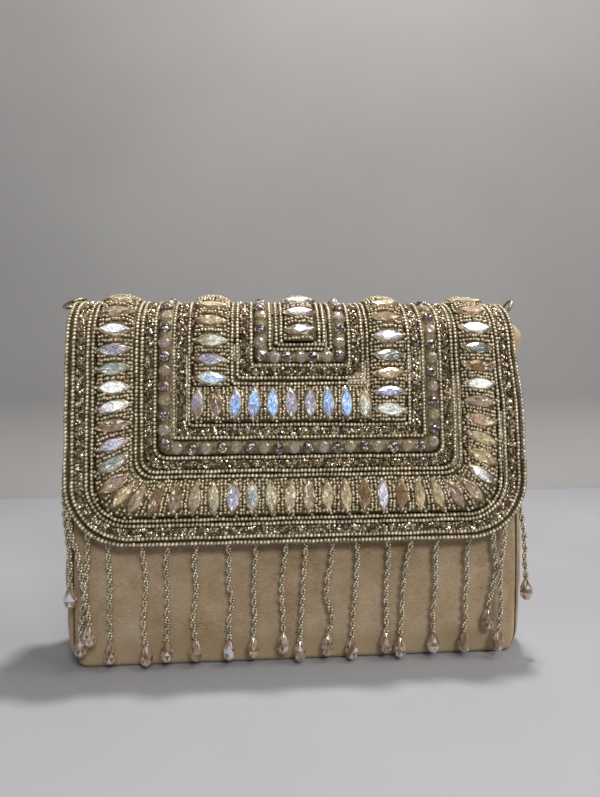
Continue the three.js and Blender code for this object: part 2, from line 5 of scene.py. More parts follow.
import bmesh
import bpy
import numpy as np
from mathutils import Matrix, Vector, noise


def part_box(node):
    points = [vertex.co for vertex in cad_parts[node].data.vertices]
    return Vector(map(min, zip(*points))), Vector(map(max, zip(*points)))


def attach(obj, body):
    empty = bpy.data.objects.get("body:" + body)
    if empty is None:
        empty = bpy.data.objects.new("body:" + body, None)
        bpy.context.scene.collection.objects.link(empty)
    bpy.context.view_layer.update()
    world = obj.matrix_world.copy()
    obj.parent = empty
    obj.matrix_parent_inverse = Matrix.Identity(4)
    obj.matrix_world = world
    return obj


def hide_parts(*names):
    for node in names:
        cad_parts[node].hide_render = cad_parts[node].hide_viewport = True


# Beaded velvet clutch. Lengths here are millimetres and turn into Blender's metres where a point is
# placed. +Z is up, the front faces -Y, and the base lies on z = 0.
MM = 0.001

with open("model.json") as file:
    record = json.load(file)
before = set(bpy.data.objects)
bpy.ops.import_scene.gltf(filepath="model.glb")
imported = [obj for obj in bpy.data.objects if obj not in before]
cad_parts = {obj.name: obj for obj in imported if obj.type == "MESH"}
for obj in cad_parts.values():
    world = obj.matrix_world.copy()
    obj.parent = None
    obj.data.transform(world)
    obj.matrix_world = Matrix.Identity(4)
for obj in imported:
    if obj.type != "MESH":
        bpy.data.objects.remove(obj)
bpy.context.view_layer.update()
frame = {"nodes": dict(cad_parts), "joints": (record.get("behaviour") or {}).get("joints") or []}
random.seed(11)

# Body
PANEL_WIDTH = 204
WALL = 2.5
SEAM_GAP = 0.3
ARCH_TOP = 162
ARCH_RADIUS = 18.5
FACE_SWELL = 4.5
BELLY_HEIGHT = 60
MOUTH_DROP = 15
BASE_EDGE_RADIUS = 3
LOWER_CORNER_WIDTH = 4.2
LOWER_CORNER_HEIGHT = 11
GUSSET_BULGE = 7.5
GUSSET_TOP_BULGE_SHARE = 0.55
GUSSET_FOOT_BULGE_SHARE = 0.85

# Flap
FLAP_OVERHANG = 1.05
FLAP_THICKNESS = 3
FLAP_EDGE_HEIGHT = 57.6
FLAP_CORNER_RADIUS = 26.4
FLAP_LIFT = 3.1
FLAP_EASE = 0.8
FLAP_TAIL = 16
SHOULDER_PULL = 3.4
PULL_STARTS = (-34, 6)
PULL_ENDS = (34, 66)
BEADING_TAIL = 4

# Embroidery
SEED_BEAD_DIAMETER = 2.1
SEED_BEAD_PITCH = 1.66
STRING_HEIGHT = 1.05
WELT_HEIGHT = 4
WELT_EDGE_HEIGHT = 1.2
ROUND_ROW_HEIGHT = 2.2
ROUND_ROW_EDGE_HEIGHT = 1.1
NAVETTE_LENGTH = 16.3
NAVETTE_WIDTH = 6.5
NAVETTE_RISE = 1.9
NAVETTE_TABLE = 0.72
NAVETTE_PITCH = 8.35
ROUND_STONE_DIAMETER = 6
ROUND_STONE_RISE = 1.7
ROUND_STONE_PITCH = 12.9
INNER_ROUND_PITCH = 12.15

# Fringe
STRAND_DIAMETER = 2.1
STRAND_REST_GAP = 2.55
STRAND_BEAD_DIAMETER = 1.5
STRAND_BEAD_PITCH = 1.15
STRAND_TWIST = 9
STRAND_THREAD_GAP = 1.25
HEAD_TAIL = 8
DROP_LENGTH = 9
DROP_DIAMETER = 6

# Rings
RING_DIAMETER = 12
RING_WIRE = 1.5
TAB_HOLE = 2.9
TAB_WALL = 0.9
TAB_THICKNESS = 2
TAB_STEM_WIDTH = 2.6
TAB_SINK = 0.4

# Derived form, as in the solids: a long face arc, a small arc under the base, and the flap's line
# tangent to the top arch.
flap_width = PANEL_WIDTH + 2 * FLAP_OVERHANG
half_panel = PANEL_WIDTH / 2
half_flap = flap_width / 2
arch_height = ARCH_TOP - ARCH_RADIUS
belly_depth = ARCH_RADIUS + FACE_SWELL
face_radius = (belly_depth**2 + (arch_height - BELLY_HEIGHT) ** 2 - ARCH_RADIUS**2) / (2 * FACE_SWELL)
face_centre = belly_depth - face_radius
edge_fall = (BELLY_HEIGHT - BASE_EDGE_RADIUS) / (face_radius - BASE_EDGE_RADIUS)
edge_centre = face_centre + (face_radius - BASE_EDGE_RADIUS) * math.sqrt(1 - edge_fall**2)
edge_top = BASE_EDGE_RADIUS * (1 - edge_fall)
mouth_height = ARCH_TOP - MOUTH_DROP


def lerp(a, b, share):
    return a + (b - a) * share


def clamp(value, low, high):
    return max(low, min(high, value))


def half_depth(z, inset=0):
    """How far the body reaches from its middle plane at a height."""
    if z < edge_top:
        r = BASE_EDGE_RADIUS - inset
        return edge_centre + math.sqrt(max(r * r - (z - BASE_EDGE_RADIUS) ** 2, 0))
    return face_centre + math.sqrt((face_radius - inset) ** 2 - (z - BELLY_HEIGHT) ** 2)


inner_radius = ARCH_RADIUS + FLAP_EASE
outer_radius = inner_radius + FLAP_THICKNESS
edge_reach = half_depth(FLAP_EDGE_HEIGHT) + FLAP_LIFT
edge_distance = math.hypot(edge_reach, arch_height - FLAP_EDGE_HEIGHT)
front_length = math.sqrt(edge_distance**2 - inner_radius**2)
edge_slope = math.atan2(arch_height - FLAP_EDGE_HEIGHT, edge_reach)
flap_lean = math.acos(inner_radius / edge_distance) - edge_slope
arch_length = outer_radius * (math.pi - 2 * flap_lean)
beading_end = front_length + arch_length + BEADING_TAIL
flap_end = front_length + arch_length + FLAP_TAIL


def smoothed(value, start, end):
    share = clamp((value - start) / (end - start), 0, 1)
    return share * share * (3 - 2 * share)


def flap_point(u, v, h):
    """u across, v up the outer face from the lower edge and over the top, h out from that face. The
    right side is pulled in at the shoulder, so that the gusset shows beside it."""
    past = v - front_length
    pull = smoothed(past, *PULL_STARTS) * (1 - smoothed(past, *PULL_ENDS))
    u -= SHOULDER_PULL * pull * clamp(u / half_flap, 0, 1) ** 5
    turn = clamp(past, 0, arch_length) / outer_radius + flap_lean
    straight = past if past < 0 else max(past - arch_length, 0)
    down = straight if past < 0 else -straight
    r = outer_radius + h
    y = -r * math.cos(turn) + straight * math.sin(flap_lean)
    z = arch_height + r * math.sin(turn) + down * math.cos(flap_lean)
    return Vector((u, y, z)) * MM


# Camera: stands where the photo's camera stood in front of the flap.
CAMERA_PLACE = (-22.11, -296.17, 122.86)
CAMERA_TURN = 4.582
CAMERA_DIP = 0.432
CAMERA_ROLL = -0.311
CAMERA_FOCAL_PIXELS = 600
PICTURE_HEIGHT = 797
SENSOR = 36

camera_data = bpy.data.cameras.new("camera")
camera_data.sensor_width = SENSOR
camera_data.lens = CAMERA_FOCAL_PIXELS / PICTURE_HEIGHT * SENSOR
camera_data.clip_start = 0.01
camera = bpy.data.objects.new("camera", camera_data)
bpy.context.scene.collection.objects.link(camera)
camera.location = Vector(CAMERA_PLACE) * MM
look = Matrix.Rotation(math.radians(-CAMERA_TURN), 3, "Z") @ Matrix.Rotation(
    math.radians(90 - CAMERA_DIP), 3, "X")
camera.rotation_euler = (look @ Matrix.Rotation(math.radians(CAMERA_ROLL), 3, "Z")).to_euler()
bpy.context.scene.camera = camera


class Value:
    """A number that changes over a surface. An expression on values adds its Math nodes."""

    def __init__(self, finish, socket):
        self.finish = finish
        self.socket = socket

    def math(self, operation, *inputs):
        sockets = [i.socket if isinstance(i, Value) else i for i in inputs]
        node = self.finish.node("ShaderNodeMath", {"operation": operation}, dict(enumerate(sockets)))
        return Value(self.finish, node.outputs[0])

    def __add__(self, other):
        return self.math("ADD", self, other)

    def __radd__(self, other):
        return self.math("ADD", other, self)

    def __sub__(self, other):
        return self.math("SUBTRACT", self, other)

    def __rsub__(self, other):
        return self.math("SUBTRACT", other, self)

    def __mul__(self, other):
        return self.math("MULTIPLY", self, other)

    def __rmul__(self, other):
        return self.math("MULTIPLY", other, self)

    def __pow__(self, other):
        return self.math("POWER", self, other)

    def above(self, edge):
        return self.math("GREATER_THAN", self, edge)


class Finish:
    """A material under construction: one Principled shader, and the nodes that feed it."""

    def __init__(self, name, **sockets):
        self.material = bpy.data.materials.new(name)
        self.material.use_nodes = True
        self.tree = self.material.node_tree
        self.shader = self.tree.nodes["Principled BSDF"]
        self.feed(self.shader, sockets)
        self.coordinates = self.tree.nodes.new("ShaderNodeTexCoord").outputs["Object"]

    def fill(self, socket, value):
        if isinstance(value, Value):
            value = value.socket
        if isinstance(value, bpy.types.NodeSocket):
            self.tree.links.new(value, socket)
        else:
            socket.default_value = value

    def feed(self, node, inputs):
        for key, value in inputs.items():
            self.fill(node.inputs[key.replace("_", " ") if isinstance(key, str) else key], value)

    def node(self, kind, settings=None, inputs=None):
        node = self.tree.nodes.new(kind)
        for key, value in (settings or {}).items():
            if key == "stops":
                ramp = node.color_ramp
                while len(ramp.elements) < len(value):
                    ramp.elements.new(0.5)
                for element, (place, colour) in zip(ramp.elements, value):
                    element.position = place
                    element.color = (*colour, 1)
            else:
                setattr(node, key, value)
        self.feed(node, inputs or {})
        return node

    def stretched(self, scale):
        """Object coordinates with a scale for each axis."""
        node = self.node("ShaderNodeMapping", {}, {"Vector": self.coordinates, "Scale": scale})
        return node.outputs[0]

    def noise(self, scale, detail=3, roughness=0.55, vector=None):
        node = self.node("ShaderNodeTexNoise", {}, {
            "Vector": vector or self.coordinates, "Scale": scale, "Detail": detail,
            "Roughness": roughness})
        return Value(self, node.outputs["Fac"])

    def attribute(self, name, output="Fac"):
        node = self.node("ShaderNodeAttribute", {"attribute_name": name})
        return Value(self, node.outputs[output]) if output == "Fac" else node.outputs[output]

    def ramp(self, value, stops):
        return self.node("ShaderNodeValToRGB", {"stops": stops}, {"Fac": value}).outputs["Color"]

    def mix(self, share, a, b, blend="MIX"):
        node = self.tree.nodes.new("ShaderNodeMix")
        node.data_type = "RGBA"
        node.blend_type = blend
        colours = [s for s in node.inputs if s.type == "RGBA"]
        for socket, value in ((node.inputs[0], share), (colours[0], a), (colours[1], b)):
            self.fill(socket, (*value, 1) if isinstance(value, tuple) else value)
        return [s for s in node.outputs if s.type == "RGBA"][0]

    def bump(self, height, distance, strength=1.0):
        node = self.node("ShaderNodeBump", {}, {
            "Height": height, "Distance": distance * MM, "Strength": strength})
        self.feed(self.shader, {"Normal": node.outputs["Normal"]})


# Finishes. Colours are linear.
def velvet_finish():
    finish = Finish("beige_velvet", Roughness=0.86, Sheen_Weight=0.5, Sheen_Roughness=0.42,
                    Sheen_Tint=(1.0, 0.86, 0.66, 1), Specular_IOR_Level=0.2)
    brushed = finish.noise(26, 4, 0.6)
    blotch = finish.noise(85, 5, 0.7)
    fibre = finish.noise(950, 3, 0.7, finish.stretched((0.55, 1, 1.5)))
    grain = finish.noise(2100, 2, 0.6, finish.stretched((0.45, 1, 1.3)))
    nap = brushed * 0.36 + blotch * 0.26 + fibre * 0.20 + grain * 0.18
    colour = finish.ramp(nap, [
        (0.37, (0.245, 0.155, 0.078)),
        (0.45, (0.375, 0.268, 0.158)),
        (0.54, (0.465, 0.355, 0.232)),
        (0.64, (0.560, 0.450, 0.315)),
    ])
    # Painted shade: the lowest 15 mm fade to a flat ochre, the shaded tone of the velvet where it
    # curves under to the base.
    height = finish.node("ShaderNodeSeparateXYZ", {}, {"Vector": finish.coordinates}).outputs["Z"]
    low = finish.node("ShaderNodeMapRange", {"interpolation_type": "SMOOTHSTEP"}, {
        "Value": height, "From Min": 15 * MM, "From Max": 8 * MM, "To Min": 0.0, "To Max": 0.75})
    colour = finish.mix(Value(finish, low.outputs[0]), colour, (0.43, 0.325, 0.190))
    finish.feed(finish.shader, {"Base Color": colour, "Roughness": 0.92 - 0.12 * fibre})
    finish.bump(fibre * 0.9 + grain * 0.7 + brushed * 1.6, 0.35)
    return finish.material


def ground_finish():
    finish = Finish("olive_gold_thread", Metallic=0.25, Specular_IOR_Level=0.5)
    thread = finish.noise(1300, 2, 0.5, finish.stretched((1, 1, 0.35)))
    patch = finish.noise(160, 3)
    colour = finish.ramp(thread * 0.7 + patch * 0.3, [
        (0.36, (0.072, 0.054, 0.022)),
        (0.50, (0.155, 0.122, 0.054)),
        (0.66, (0.290, 0.238, 0.122)),
    ])
    finish.feed(finish.shader, {"Base Color": colour, "Roughness": 0.55 - 0.2 * thread})
    finish.bump(thread, 0.35)
    return finish.material


def seed_bead_finish(name, dark, light, lining):
    """Clear coloured glass round a silver lining. The lining's bright line is a painted highlight on
    the bead's top, which also glows a little.
    """
    finish = Finish(name, Coat_Weight=1.0, Coat_Roughness=0.05, Specular_IOR_Level=0.7,
                    Emission_Strength=0.4)
    tint = finish.attribute("tint")
    # Painted highlight: the bead's top takes the lining colour, and glows with it.
    core = finish.attribute("core") ** 8 * (0.25 + 0.95 * tint)
    colour = finish.mix(core, finish.ramp(tint, [(0.0, dark), (1.0, light)]), lining)
    finish.feed(finish.shader, {"Base Color": colour, "Roughness": 0.34 - 0.2 * core,
                                "Metallic": 0.35 - 0.3 * core,
                                "Emission Color": finish.mix(core, (0.0, 0.0, 0.0), lining)})
    finish.bump(finish.noise(1400, 2), 0.05)
    return finish.material


def crushed_bead_finish():
    finish = Finish("crushed_bronze_beads", Coat_Weight=0.7, Coat_Roughness=0.05)
    tint = finish.attribute("tint")
    colour = finish.ramp(tint, [
        (0.0, (0.036, 0.022, 0.011)),
        (0.30, (0.195, 0.130, 0.072)),
        (0.60, (0.415, 0.305, 0.190)),
        (0.85, (0.720, 0.585, 0.415)),
        (1.0, (0.950, 0.870, 0.740)),
    ])
    finish.feed(finish.shader, {"Base Color": colour, "Roughness": 0.30 - 0.14 * tint,
                                "Metallic": 0.55 + 0.4 * tint})
    finish.bump(finish.noise(900, 2), 0.15)
    return finish.material


def cut_stone_finish(name, metallic, film, glow):
    """A foiled stone: facet colours from its tone, with small painted sparks inside, and a painted
    glow, a little emission, for the light that the foil sends back."""
    finish = Finish(name, Metallic=metallic, Coat_Weight=1.0, Coat_Roughness=0.02,
                    Specular_IOR_Level=0.9, IOR=1.6, Thin_Film_Thickness=film, Thin_Film_IOR=1.7,
                    Emission_Strength=glow)
    # Painted sparkle: noise that makes the facets lighter and darker, as reflections inside the stone
    # would.
    depth = finish.noise(1700, 2, 0.7)
    tone = finish.attribute("tone", "Color")
    colour = finish.mix(1.0, tone, 2.8 * depth - 0.35, "MULTIPLY")
    # Painted glow: the emission takes the facet colours.
    finish.feed(finish.shader, {"Base Color": colour, "Roughness": 0.04 + 0.14 * depth,
                                "Emission Color": finish.mix(1.0, colour, tone, "MULTIPLY")})
    return finish.material


def drop_finish():
    finish = Finish("peach_crystal", Transmission_Weight=0.35, IOR=1.56, Coat_Weight=1.0,
                    Coat_Roughness=0.01, Specular_IOR_Level=0.8, Thin_Film_Thickness=380,
                    Thin_Film_IOR=1.5)
    depth = finish.noise(300, 2)
    finish.feed(finish.shader, {"Base Color": finish.attribute("tone", "Color"),
                                "Roughness": 0.02 + 0.05 * depth})
    return finish.material


def gold_finish():
    finish = Finish("antique_gold", Metallic=1.0)
    wear = finish.noise(500, 4, 0.6)
    colour = finish.ramp(wear, [(0.35, (0.20, 0.155, 0.085)), (0.65, (0.50, 0.41, 0.25))])
    finish.feed(finish.shader, {"Base Color": colour, "Roughness": 0.2 + 0.25 * wear})
    finish.bump(wear, 0.04)
    return finish.material


def seam_finish():
    finish = Finish("brown_seam_thread", Roughness=0.75, Sheen_Weight=0.3)
    twist = finish.noise(1200, 2)
    colour = finish.ramp(twist, [(0.4, (0.060, 0.028, 0.012)), (0.6, (0.150, 0.078, 0.036))])
    finish.feed(finish.shader, {"Base Color": colour})
    finish.bump(twist, 0.2)
    return finish.material


def plaster_finish(name, dark, light, roughness):
    finish = Finish(name, Specular_IOR_Level=0.25)
    cloud = finish.noise(3, 4)
    grain = finish.noise(900, 2)
    finish.feed(finish.shader, {
        "Base Color": finish.ramp(cloud, [(0.3, dark), (0.7, light)]),
        "Roughness": roughness + 0.1 * grain})
    finish.bump(grain, 0.05)
    return finish.material


VELVET = velvet_finish()
GROUND = ground_finish()
RIM_BEADS = seed_bead_finish(
    "silver_lined_beads", (0.165, 0.120, 0.048), (0.370, 0.280, 0.132), (1.0, 0.93, 0.78))
CHANNEL_BEADS = seed_bead_finish(
    "champagne_beads", (0.212, 0.153, 0.072), (0.462, 0.350, 0.190), (1.0, 0.90, 0.70))
FRINGE_BEADS = seed_bead_finish(
    "fringe_beads", (0.255, 0.202, 0.108), (0.470, 0.385, 0.230), (1.0, 0.95, 0.82))
CRUSHED = crushed_bead_finish()
NAVETTE = cut_stone_finish("iridescent_navette", 0.15, 200, 0.42)
SMOKY = cut_stone_finish("smoky_round_stone", 0.0, 0, 0.2)
MILKY = cut_stone_finish("milky_round_stone", 0.0, 0, 0.0)
PEACH = drop_finish()
GOLD = gold_finish()
SEAM = seam_finish()


# Making pieces
def shown(name, mesh, *materials):
    piece = bpy.data.objects.new(name, mesh)
    bpy.context.scene.collection.objects.link(piece)
    for material in materials:
        mesh.materials.append(material)
    return piece


def from_bmesh(name, bm, *materials, smooth=True):
    mesh = bpy.data.meshes.new(name)
    bm.to_mesh(mesh)
    bm.free()
    mesh.polygons.foreach_set("use_smooth", [smooth] * len(mesh.polygons))
    return shown(name, mesh, *materials)


def skin(columns, rows, place, wrap=False):
    """A grid shaped by place(s, t), with s along the columns and t along the rows, both 0 to 1."""
    bm = bmesh.new()
    bmesh.ops.create_grid(bm, x_segments=columns, y_segments=rows, size=0.5)
    for vert in bm.verts:
        vert.co = place(vert.co.x + 0.5, vert.co.y + 0.5)
    if wrap:
        bmesh.ops.remove_doubles(bm, verts=bm.verts, dist=0.001 * MM)
        rims = [edge for edge in bm.edges if edge.is_boundary]
        bmesh.ops.holes_fill(bm, edges=rims, sides=0)
    bmesh.ops.recalc_face_normals(bm, faces=bm.faces)
    return bm


def thickened(bm, thickness):
    """Gives a sheet its thickness towards the side that its normals turn away from."""
    bmesh.ops.solidify(bm, geom=bm.faces[:], thickness=thickness * MM)
    bmesh.ops.recalc_face_normals(bm, faces=bm.faces)


def rides(piece, slot, *nodes, body="clutch"):
    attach(piece, body)
    if nodes:
        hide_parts(*nodes)
    return piece


def template(bm):
    """A small shape as arrays: its corners, and its faces as triangles."""
    bmesh.ops.recalc_face_normals(bm, faces=bm.faces)
    bmesh.ops.triangulate(bm, faces=bm.faces[:])
    bm.verts.ensure_lookup_table()
    corners = np.array([vert.co[:] for vert in bm.verts])
    faces = np.array([[vert.index for vert in face.verts] for face in bm.faces])
    bm.free()
    return corners, faces


def strewn(name, shape, seats, *materials, smooth=True, tints=None):
    """One joined mesh with the shape at each seat. Each copy has a tint, and each point a share of
    painted
    highlight: how far up the shape it is."""
    corners, faces = shape
    turns = np.array([[list(row) for row in seat] for seat in seats])
    points = np.einsum("nij,kj->nki", turns[:, :3, :3], corners) + turns[:, None, :3, 3]
    count, size = len(seats), len(corners)
    index = faces[None] + (np.arange(count) * size)[:, None, None]
    mesh = bpy.data.meshes.new(name)
    mesh.vertices.add(count * size)
    mesh.vertices.foreach_set("co", points.ravel())
    mesh.loops.add(index.size)
    mesh.loops.foreach_set("vertex_index", index.ravel())
    mesh.polygons.add(count * len(faces))
    mesh.polygons.foreach_set("loop_start", np.arange(0, index.size, 3))
    mesh.polygons.foreach_set("use_smooth", np.full(count * len(faces), smooth))
    mesh.update(calc_edges=True)
    if tints is None:
        tints = [random.random() for _ in seats]
    tint = mesh.attributes.new("tint", "FLOAT", "POINT")
    tint.data.foreach_set("value", np.repeat(tints, size))
    core = mesh.attributes.new("core", "FLOAT", "POINT")
    # Painted highlight for seed beads: how far up the shape each point is.
    up = np.clip(corners[:, 2] / corners[:, 2].max(), 0, 1)
    core.data.foreach_set("value", np.tile(up, count))
    return shown(name, mesh, *materials)


def painted(piece, shape, stones, edge_tone, glint_tone, spread, glints, tip_tone=None):
    """Facet colours. A stone's table goes from its first tone to its second along its length, its crown
    takes the edge tone, each facet is painted lighter or darker for the reflections inside it, and a
    share of them get a painted glint. The end towards the flap's edge may have a tone of its own."""
    corners, faces = shape
    top = corners[:, 2].max() * 0.86
    table = [bool(all(corners[face, 2] > top)) for face in faces]
    reach = corners[:, 0].max()
    colours = piece.data.color_attributes.new("tone", "FLOAT_COLOR", "CORNER")
    values = np.ones((len(piece.data.loops), 4))
    at = 0
    for tones in stones:
        first, second = (np.array(tone) for tone in tones)
        turn = random.choice((-1, 1))
        for face, on_table in zip(faces, table):
            # Painted reflection: each facet lighter or darker, and some with a painted glint.
            light = random.uniform(1 - spread, 1 + spread)
            glint = random.uniform(0.4, 1) if random.random() < glints else 0
            if on_table:
                light = lerp(1, light, 0.6)
            for corner in face:
                share = clamp(0.5 + turn * 0.9 * corners[corner, 0] / reach, 0, 1)
                base = lerp(first, second, share)
                base = base if on_table else lerp(np.array(edge_tone), base, 0.3)
                if tip_tone and corners[corner, 0] > 0.45 * reach:
                    base = lerp(base, np.array(tip_tone), 0.75 if not on_table else 0.25)
                base = lerp(base * light, np.array(glint_tone), glint)
                values[at, :3] = np.clip(base, 0, 1)
                at += 1
    colours.data.foreach_set("color", values.ravel())
    return piece


# Velvet body: two padded panels, and a gusset between them.
CLOTH_FRAMES = 20
CLOTH_PRESSURE = 4
CLOTH_SHRINK = -0.012
CLOTH_CAP = 0.9
EDGE_ROLL = 3.2
EDGE_ROLL_DEPTH = 1.7
PANEL_COLUMNS = 68
PANEL_ROWS = 46
UNDER_ROWS = 8


def panel_line(t):
    """Height and depth along the panel's profile, from the mouth down and under the base."""
    face_share = PANEL_ROWS / (PANEL_ROWS + UNDER_ROWS)
    if t <= face_share:
        z = lerp(mouth_height, edge_top, t / face_share)
        return z, half_depth(z)
    start = math.asin(edge_fall)
    a = lerp(start, math.pi / 2, (t - face_share) / (1 - face_share))
    return BASE_EDGE_RADIUS * (1 - math.sin(a)), edge_centre + BASE_EDGE_RADIUS * math.cos(a)


def panel_half_width(z):
    """Half the panel's width at a height: its lower corners are rounded."""
    down = 1 - clamp(z / LOWER_CORNER_HEIGHT, 0, 1)
    return half_panel - LOWER_CORNER_WIDTH * (1 - math.sqrt(1 - down**2))


def plumped(piece, is_free):
    """Cloth simulation: the free points swell a little over the padding, and the sewn ones stay."""
    mesh = piece.data
    at_rest = [vert.co.copy() for vert in mesh.vertices]
    sewn = piece.vertex_groups.new(name="sewn")
    sewn.add([i for i, spot in enumerate(at_rest) if not is_free(spot / MM)], 1.0, "REPLACE")
    cloth = piece.modifiers.new("cloth", "CLOTH")
    cloth.settings.vertex_group_mass = "sewn"
    cloth.settings.use_pressure = True
    cloth.settings.uniform_pressure_force = CLOTH_PRESSURE
    cloth.settings.effector_weights.gravity = 0
    cloth.settings.shrink_min = CLOTH_SHRINK
    cloth.point_cache.frame_end = CLOTH_FRAMES
    for number in range(1, CLOTH_FRAMES + 1):
        bpy.context.scene.frame_set(number)
    eased = piece.evaluated_get(bpy.context.evaluated_depsgraph_get()).data
    settled = [vert.co.copy() for vert in eased.vertices]
    piece.modifiers.remove(cloth)
    piece.vertex_groups.remove(sewn)
    bpy.context.scene.frame_set(1)
    cap = CLOTH_CAP * MM
    for vert, before, after in zip(mesh.vertices, at_rest, settled):
        moved = after - before
        if moved.length > 0:
            vert.co = before + moved.normalized() * cap * (1 - math.exp(-moved.length / cap))
    mesh.update()
    return piece


def velvet_panel(name, side, node):
    def place(s, t):
        z, depth = panel_line(t)
        half = panel_half_width(z)
        x = lerp(-half, half, 0.5 - 0.5 * math.cos(math.pi * s))
        near = clamp(1 - (half - abs(x)) / EDGE_ROLL, 0, 1)
        padding = 0.22 * noise.noise(Vector((x, side * 40, z)) / 34)
        out = depth - EDGE_ROLL_DEPTH * near**2 + padding * (1 - near)
        return Vector((x, side * max(out, 0), z)) * MM

    bm = skin(PANEL_COLUMNS, PANEL_ROWS + UNDER_ROWS, place)
    outward = sum(face.normal.y for face in bm.faces)
    if outward * side < 0:
        bmesh.ops.reverse_faces(bm, faces=bm.faces)
    thickened(bm, WALL - 0.3)
    piece = rides(from_bmesh(name, bm, VELVET), "velvet", node)
    free_top = FLAP_EDGE_HEIGHT - 2 if side < 0 else arch_height - FLAP_TAIL - 6

    def is_free(spot):
        outer = abs(spot.y) > half_depth(max(spot.z, 0)) - 1.2
        return outer and 9 < spot.z < free_top and abs(spot.x) < half_panel - 2 * EDGE_ROLL

    return plumped(piece, is_free)


GUSSET_ARC_STEPS = 14
GUSSET_SIDE_STEPS = 26
GUSSET_CORNER_STEPS = 8
GUSSET_BASE_STEPS = 30
GUSSET_COLUMNS = 20
GUSSET_FULL_BULGE_HEIGHT = 30
SHOULDER_FOLD = 3.7
FOLD_RISES = (141, 152)
FOLD_DEPTH = 11
FOLD_WIDTH = 6


def gusset_rows():
    """Rows down the right side, under the base and up the left."""
    top_radius = half_depth(arch_height, WALL) - SEAM_GAP
    rows = []
    for i in range(GUSSET_ARC_STEPS):
        a = math.radians(lerp(87, 0, i / GUSSET_ARC_STEPS))
        rows.append({"x": half_panel, "z": arch_height + top_radius * math.sin(a), "down": 0,
                     "depth": top_radius * math.cos(a),
                     "bulge": GUSSET_BULGE * lerp(1, GUSSET_TOP_BULGE_SHARE, math.sin(a) ** 2)})
    for i in range(GUSSET_SIDE_STEPS):
        z = lerp(arch_height, LOWER_CORNER_HEIGHT, i / GUSSET_SIDE_STEPS)
        up = smoothed(z, LOWER_CORNER_HEIGHT, GUSSET_FULL_BULGE_HEIGHT)
        share = lerp(GUSSET_FOOT_BULGE_SHARE, 1, up)
        rows.append({"x": half_panel, "z": z, "down": 0, "bulge": GUSSET_BULGE * share,
                     "depth": half_depth(max(z, WALL), WALL) - SEAM_GAP})
    for i in range(GUSSET_CORNER_STEPS):
        a = math.pi / 2 * i / GUSSET_CORNER_STEPS
        z = LOWER_CORNER_HEIGHT * (1 - math.sin(a))
        rows.append({"x": panel_half_width(z), "z": z, "down": math.sin(a),
                     "bulge": GUSSET_BULGE * GUSSET_FOOT_BULGE_SHARE * math.cos(a),
                     "depth": half_depth(max(z, WALL), WALL) - SEAM_GAP})
    for i in range(GUSSET_BASE_STEPS // 2 + 1):
        rows.append({"x": lerp(panel_half_width(0), 0, 2 * i / GUSSET_BASE_STEPS), "z": 0, "down": 1,
                     "bulge": 0, "depth": half_depth(WALL, WALL) - SEAM_GAP})
    return rows + [dict(row, x=-row["x"], left=True) for row in rows[-2::-1]]


def velvet_gusset():
    rows = gusset_rows()

    def place(s, t):
        row = rows[round(s * (len(rows) - 1))]
        a = lerp(-math.pi / 2, math.pi / 2, t)
        side = -1 if row.get("left") else 1
        crease = 0.25 * noise.noise(Vector((row["x"], 20 * t, row["z"])) / 15)
        y = row["depth"] * math.sin(a)
        out = (row["bulge"] + crease * (1 - row["down"])) * math.cos(a)
        if side > 0:
            near = math.exp(-((y + FOLD_DEPTH) / FOLD_WIDTH) ** 2)
            out += SHOULDER_FOLD * smoothed(row["z"], *FOLD_RISES) * near
        return Vector((row["x"] + side * out, y, row["z"])) * MM

    bm = skin(len(rows) - 1, GUSSET_COLUMNS, place)
    outward = sum(face.normal.x * face.calc_center_median().x for face in bm.faces)
    if outward < 0:
        bmesh.ops.reverse_faces(bm, faces=bm.faces)
    thickened(bm, WALL - 0.4)
    piece = rides(from_bmesh("velvet_gusset", bm, VELVET), "velvet", "gusset")

    def is_free(spot):
        return abs(spot.x) > half_panel + 3 and 12 < spot.z < arch_height

    return plumped(piece, is_free)


def tube(name, points, radius, material, sides=8):
    """A thread laid along points."""
    def place(s, t):
        i = round(s * (len(points) - 1))
        before, after = points[max(i - 1, 0)], points[min(i + 1, len(points) - 1)]
        along = (after - before).normalized()
        side = along.cross(Vector((0, 1, 0)))
        side = side.normalized() if side.length > 0.01 else Vector((1, 0, 0))
        up = side.cross(along)
        a = 2 * math.pi * t
        return points[i] + (side * math.cos(a) + up * math.sin(a)) * radius * MM

    return from_bmesh(name, skin(len(points) - 1, sides, place, wrap=True), material)


SEAM_RADIUS = 0.55


def body_seam(name, side):
    """The sewn edge between a panel and the gusset."""
    line = []
    for row in gusset_rows():
        if row["z"] > mouth_height:
            continue
        z = max(row["z"], SEAM_RADIUS + 0.1)
        edge = abs(row["x"]) + 0.15 - 0.9 * (1 - smoothed(z, 0, LOWER_CORNER_HEIGHT))
        x = math.copysign(edge, row["x"]) if row["x"] else 0
        line.append(Vector((x, side * (half_depth(max(z, 1.2)) - EDGE_ROLL_DEPTH - 0.1), z)) * MM)
    return rides(tube(name, line, SEAM_RADIUS, SEAM), "velvet")


velvet_panel("velvet_front", -1, "front_panel")
velvet_panel("velvet_back", 1, "back_panel")
velvet_gusset()
body_seam("front_seam", -1)
body_seam("back_seam", 1)


# Flap: padded sheet with rounded lower corners, worked with olive-gold thread where it is beaded.
FLAP_COLUMNS = 60
FLAP_CORNER_ROWS = 12
FLAP_FACE_ROWS = 60
FLAP_TAIL_ROWS = 8


def flap_half_width(v):
    r = FLAP_CORNER_RADIUS
    return half_flap if v >= r else half_flap - r + math.sqrt(max(r * r - (r - v) ** 2, 0))


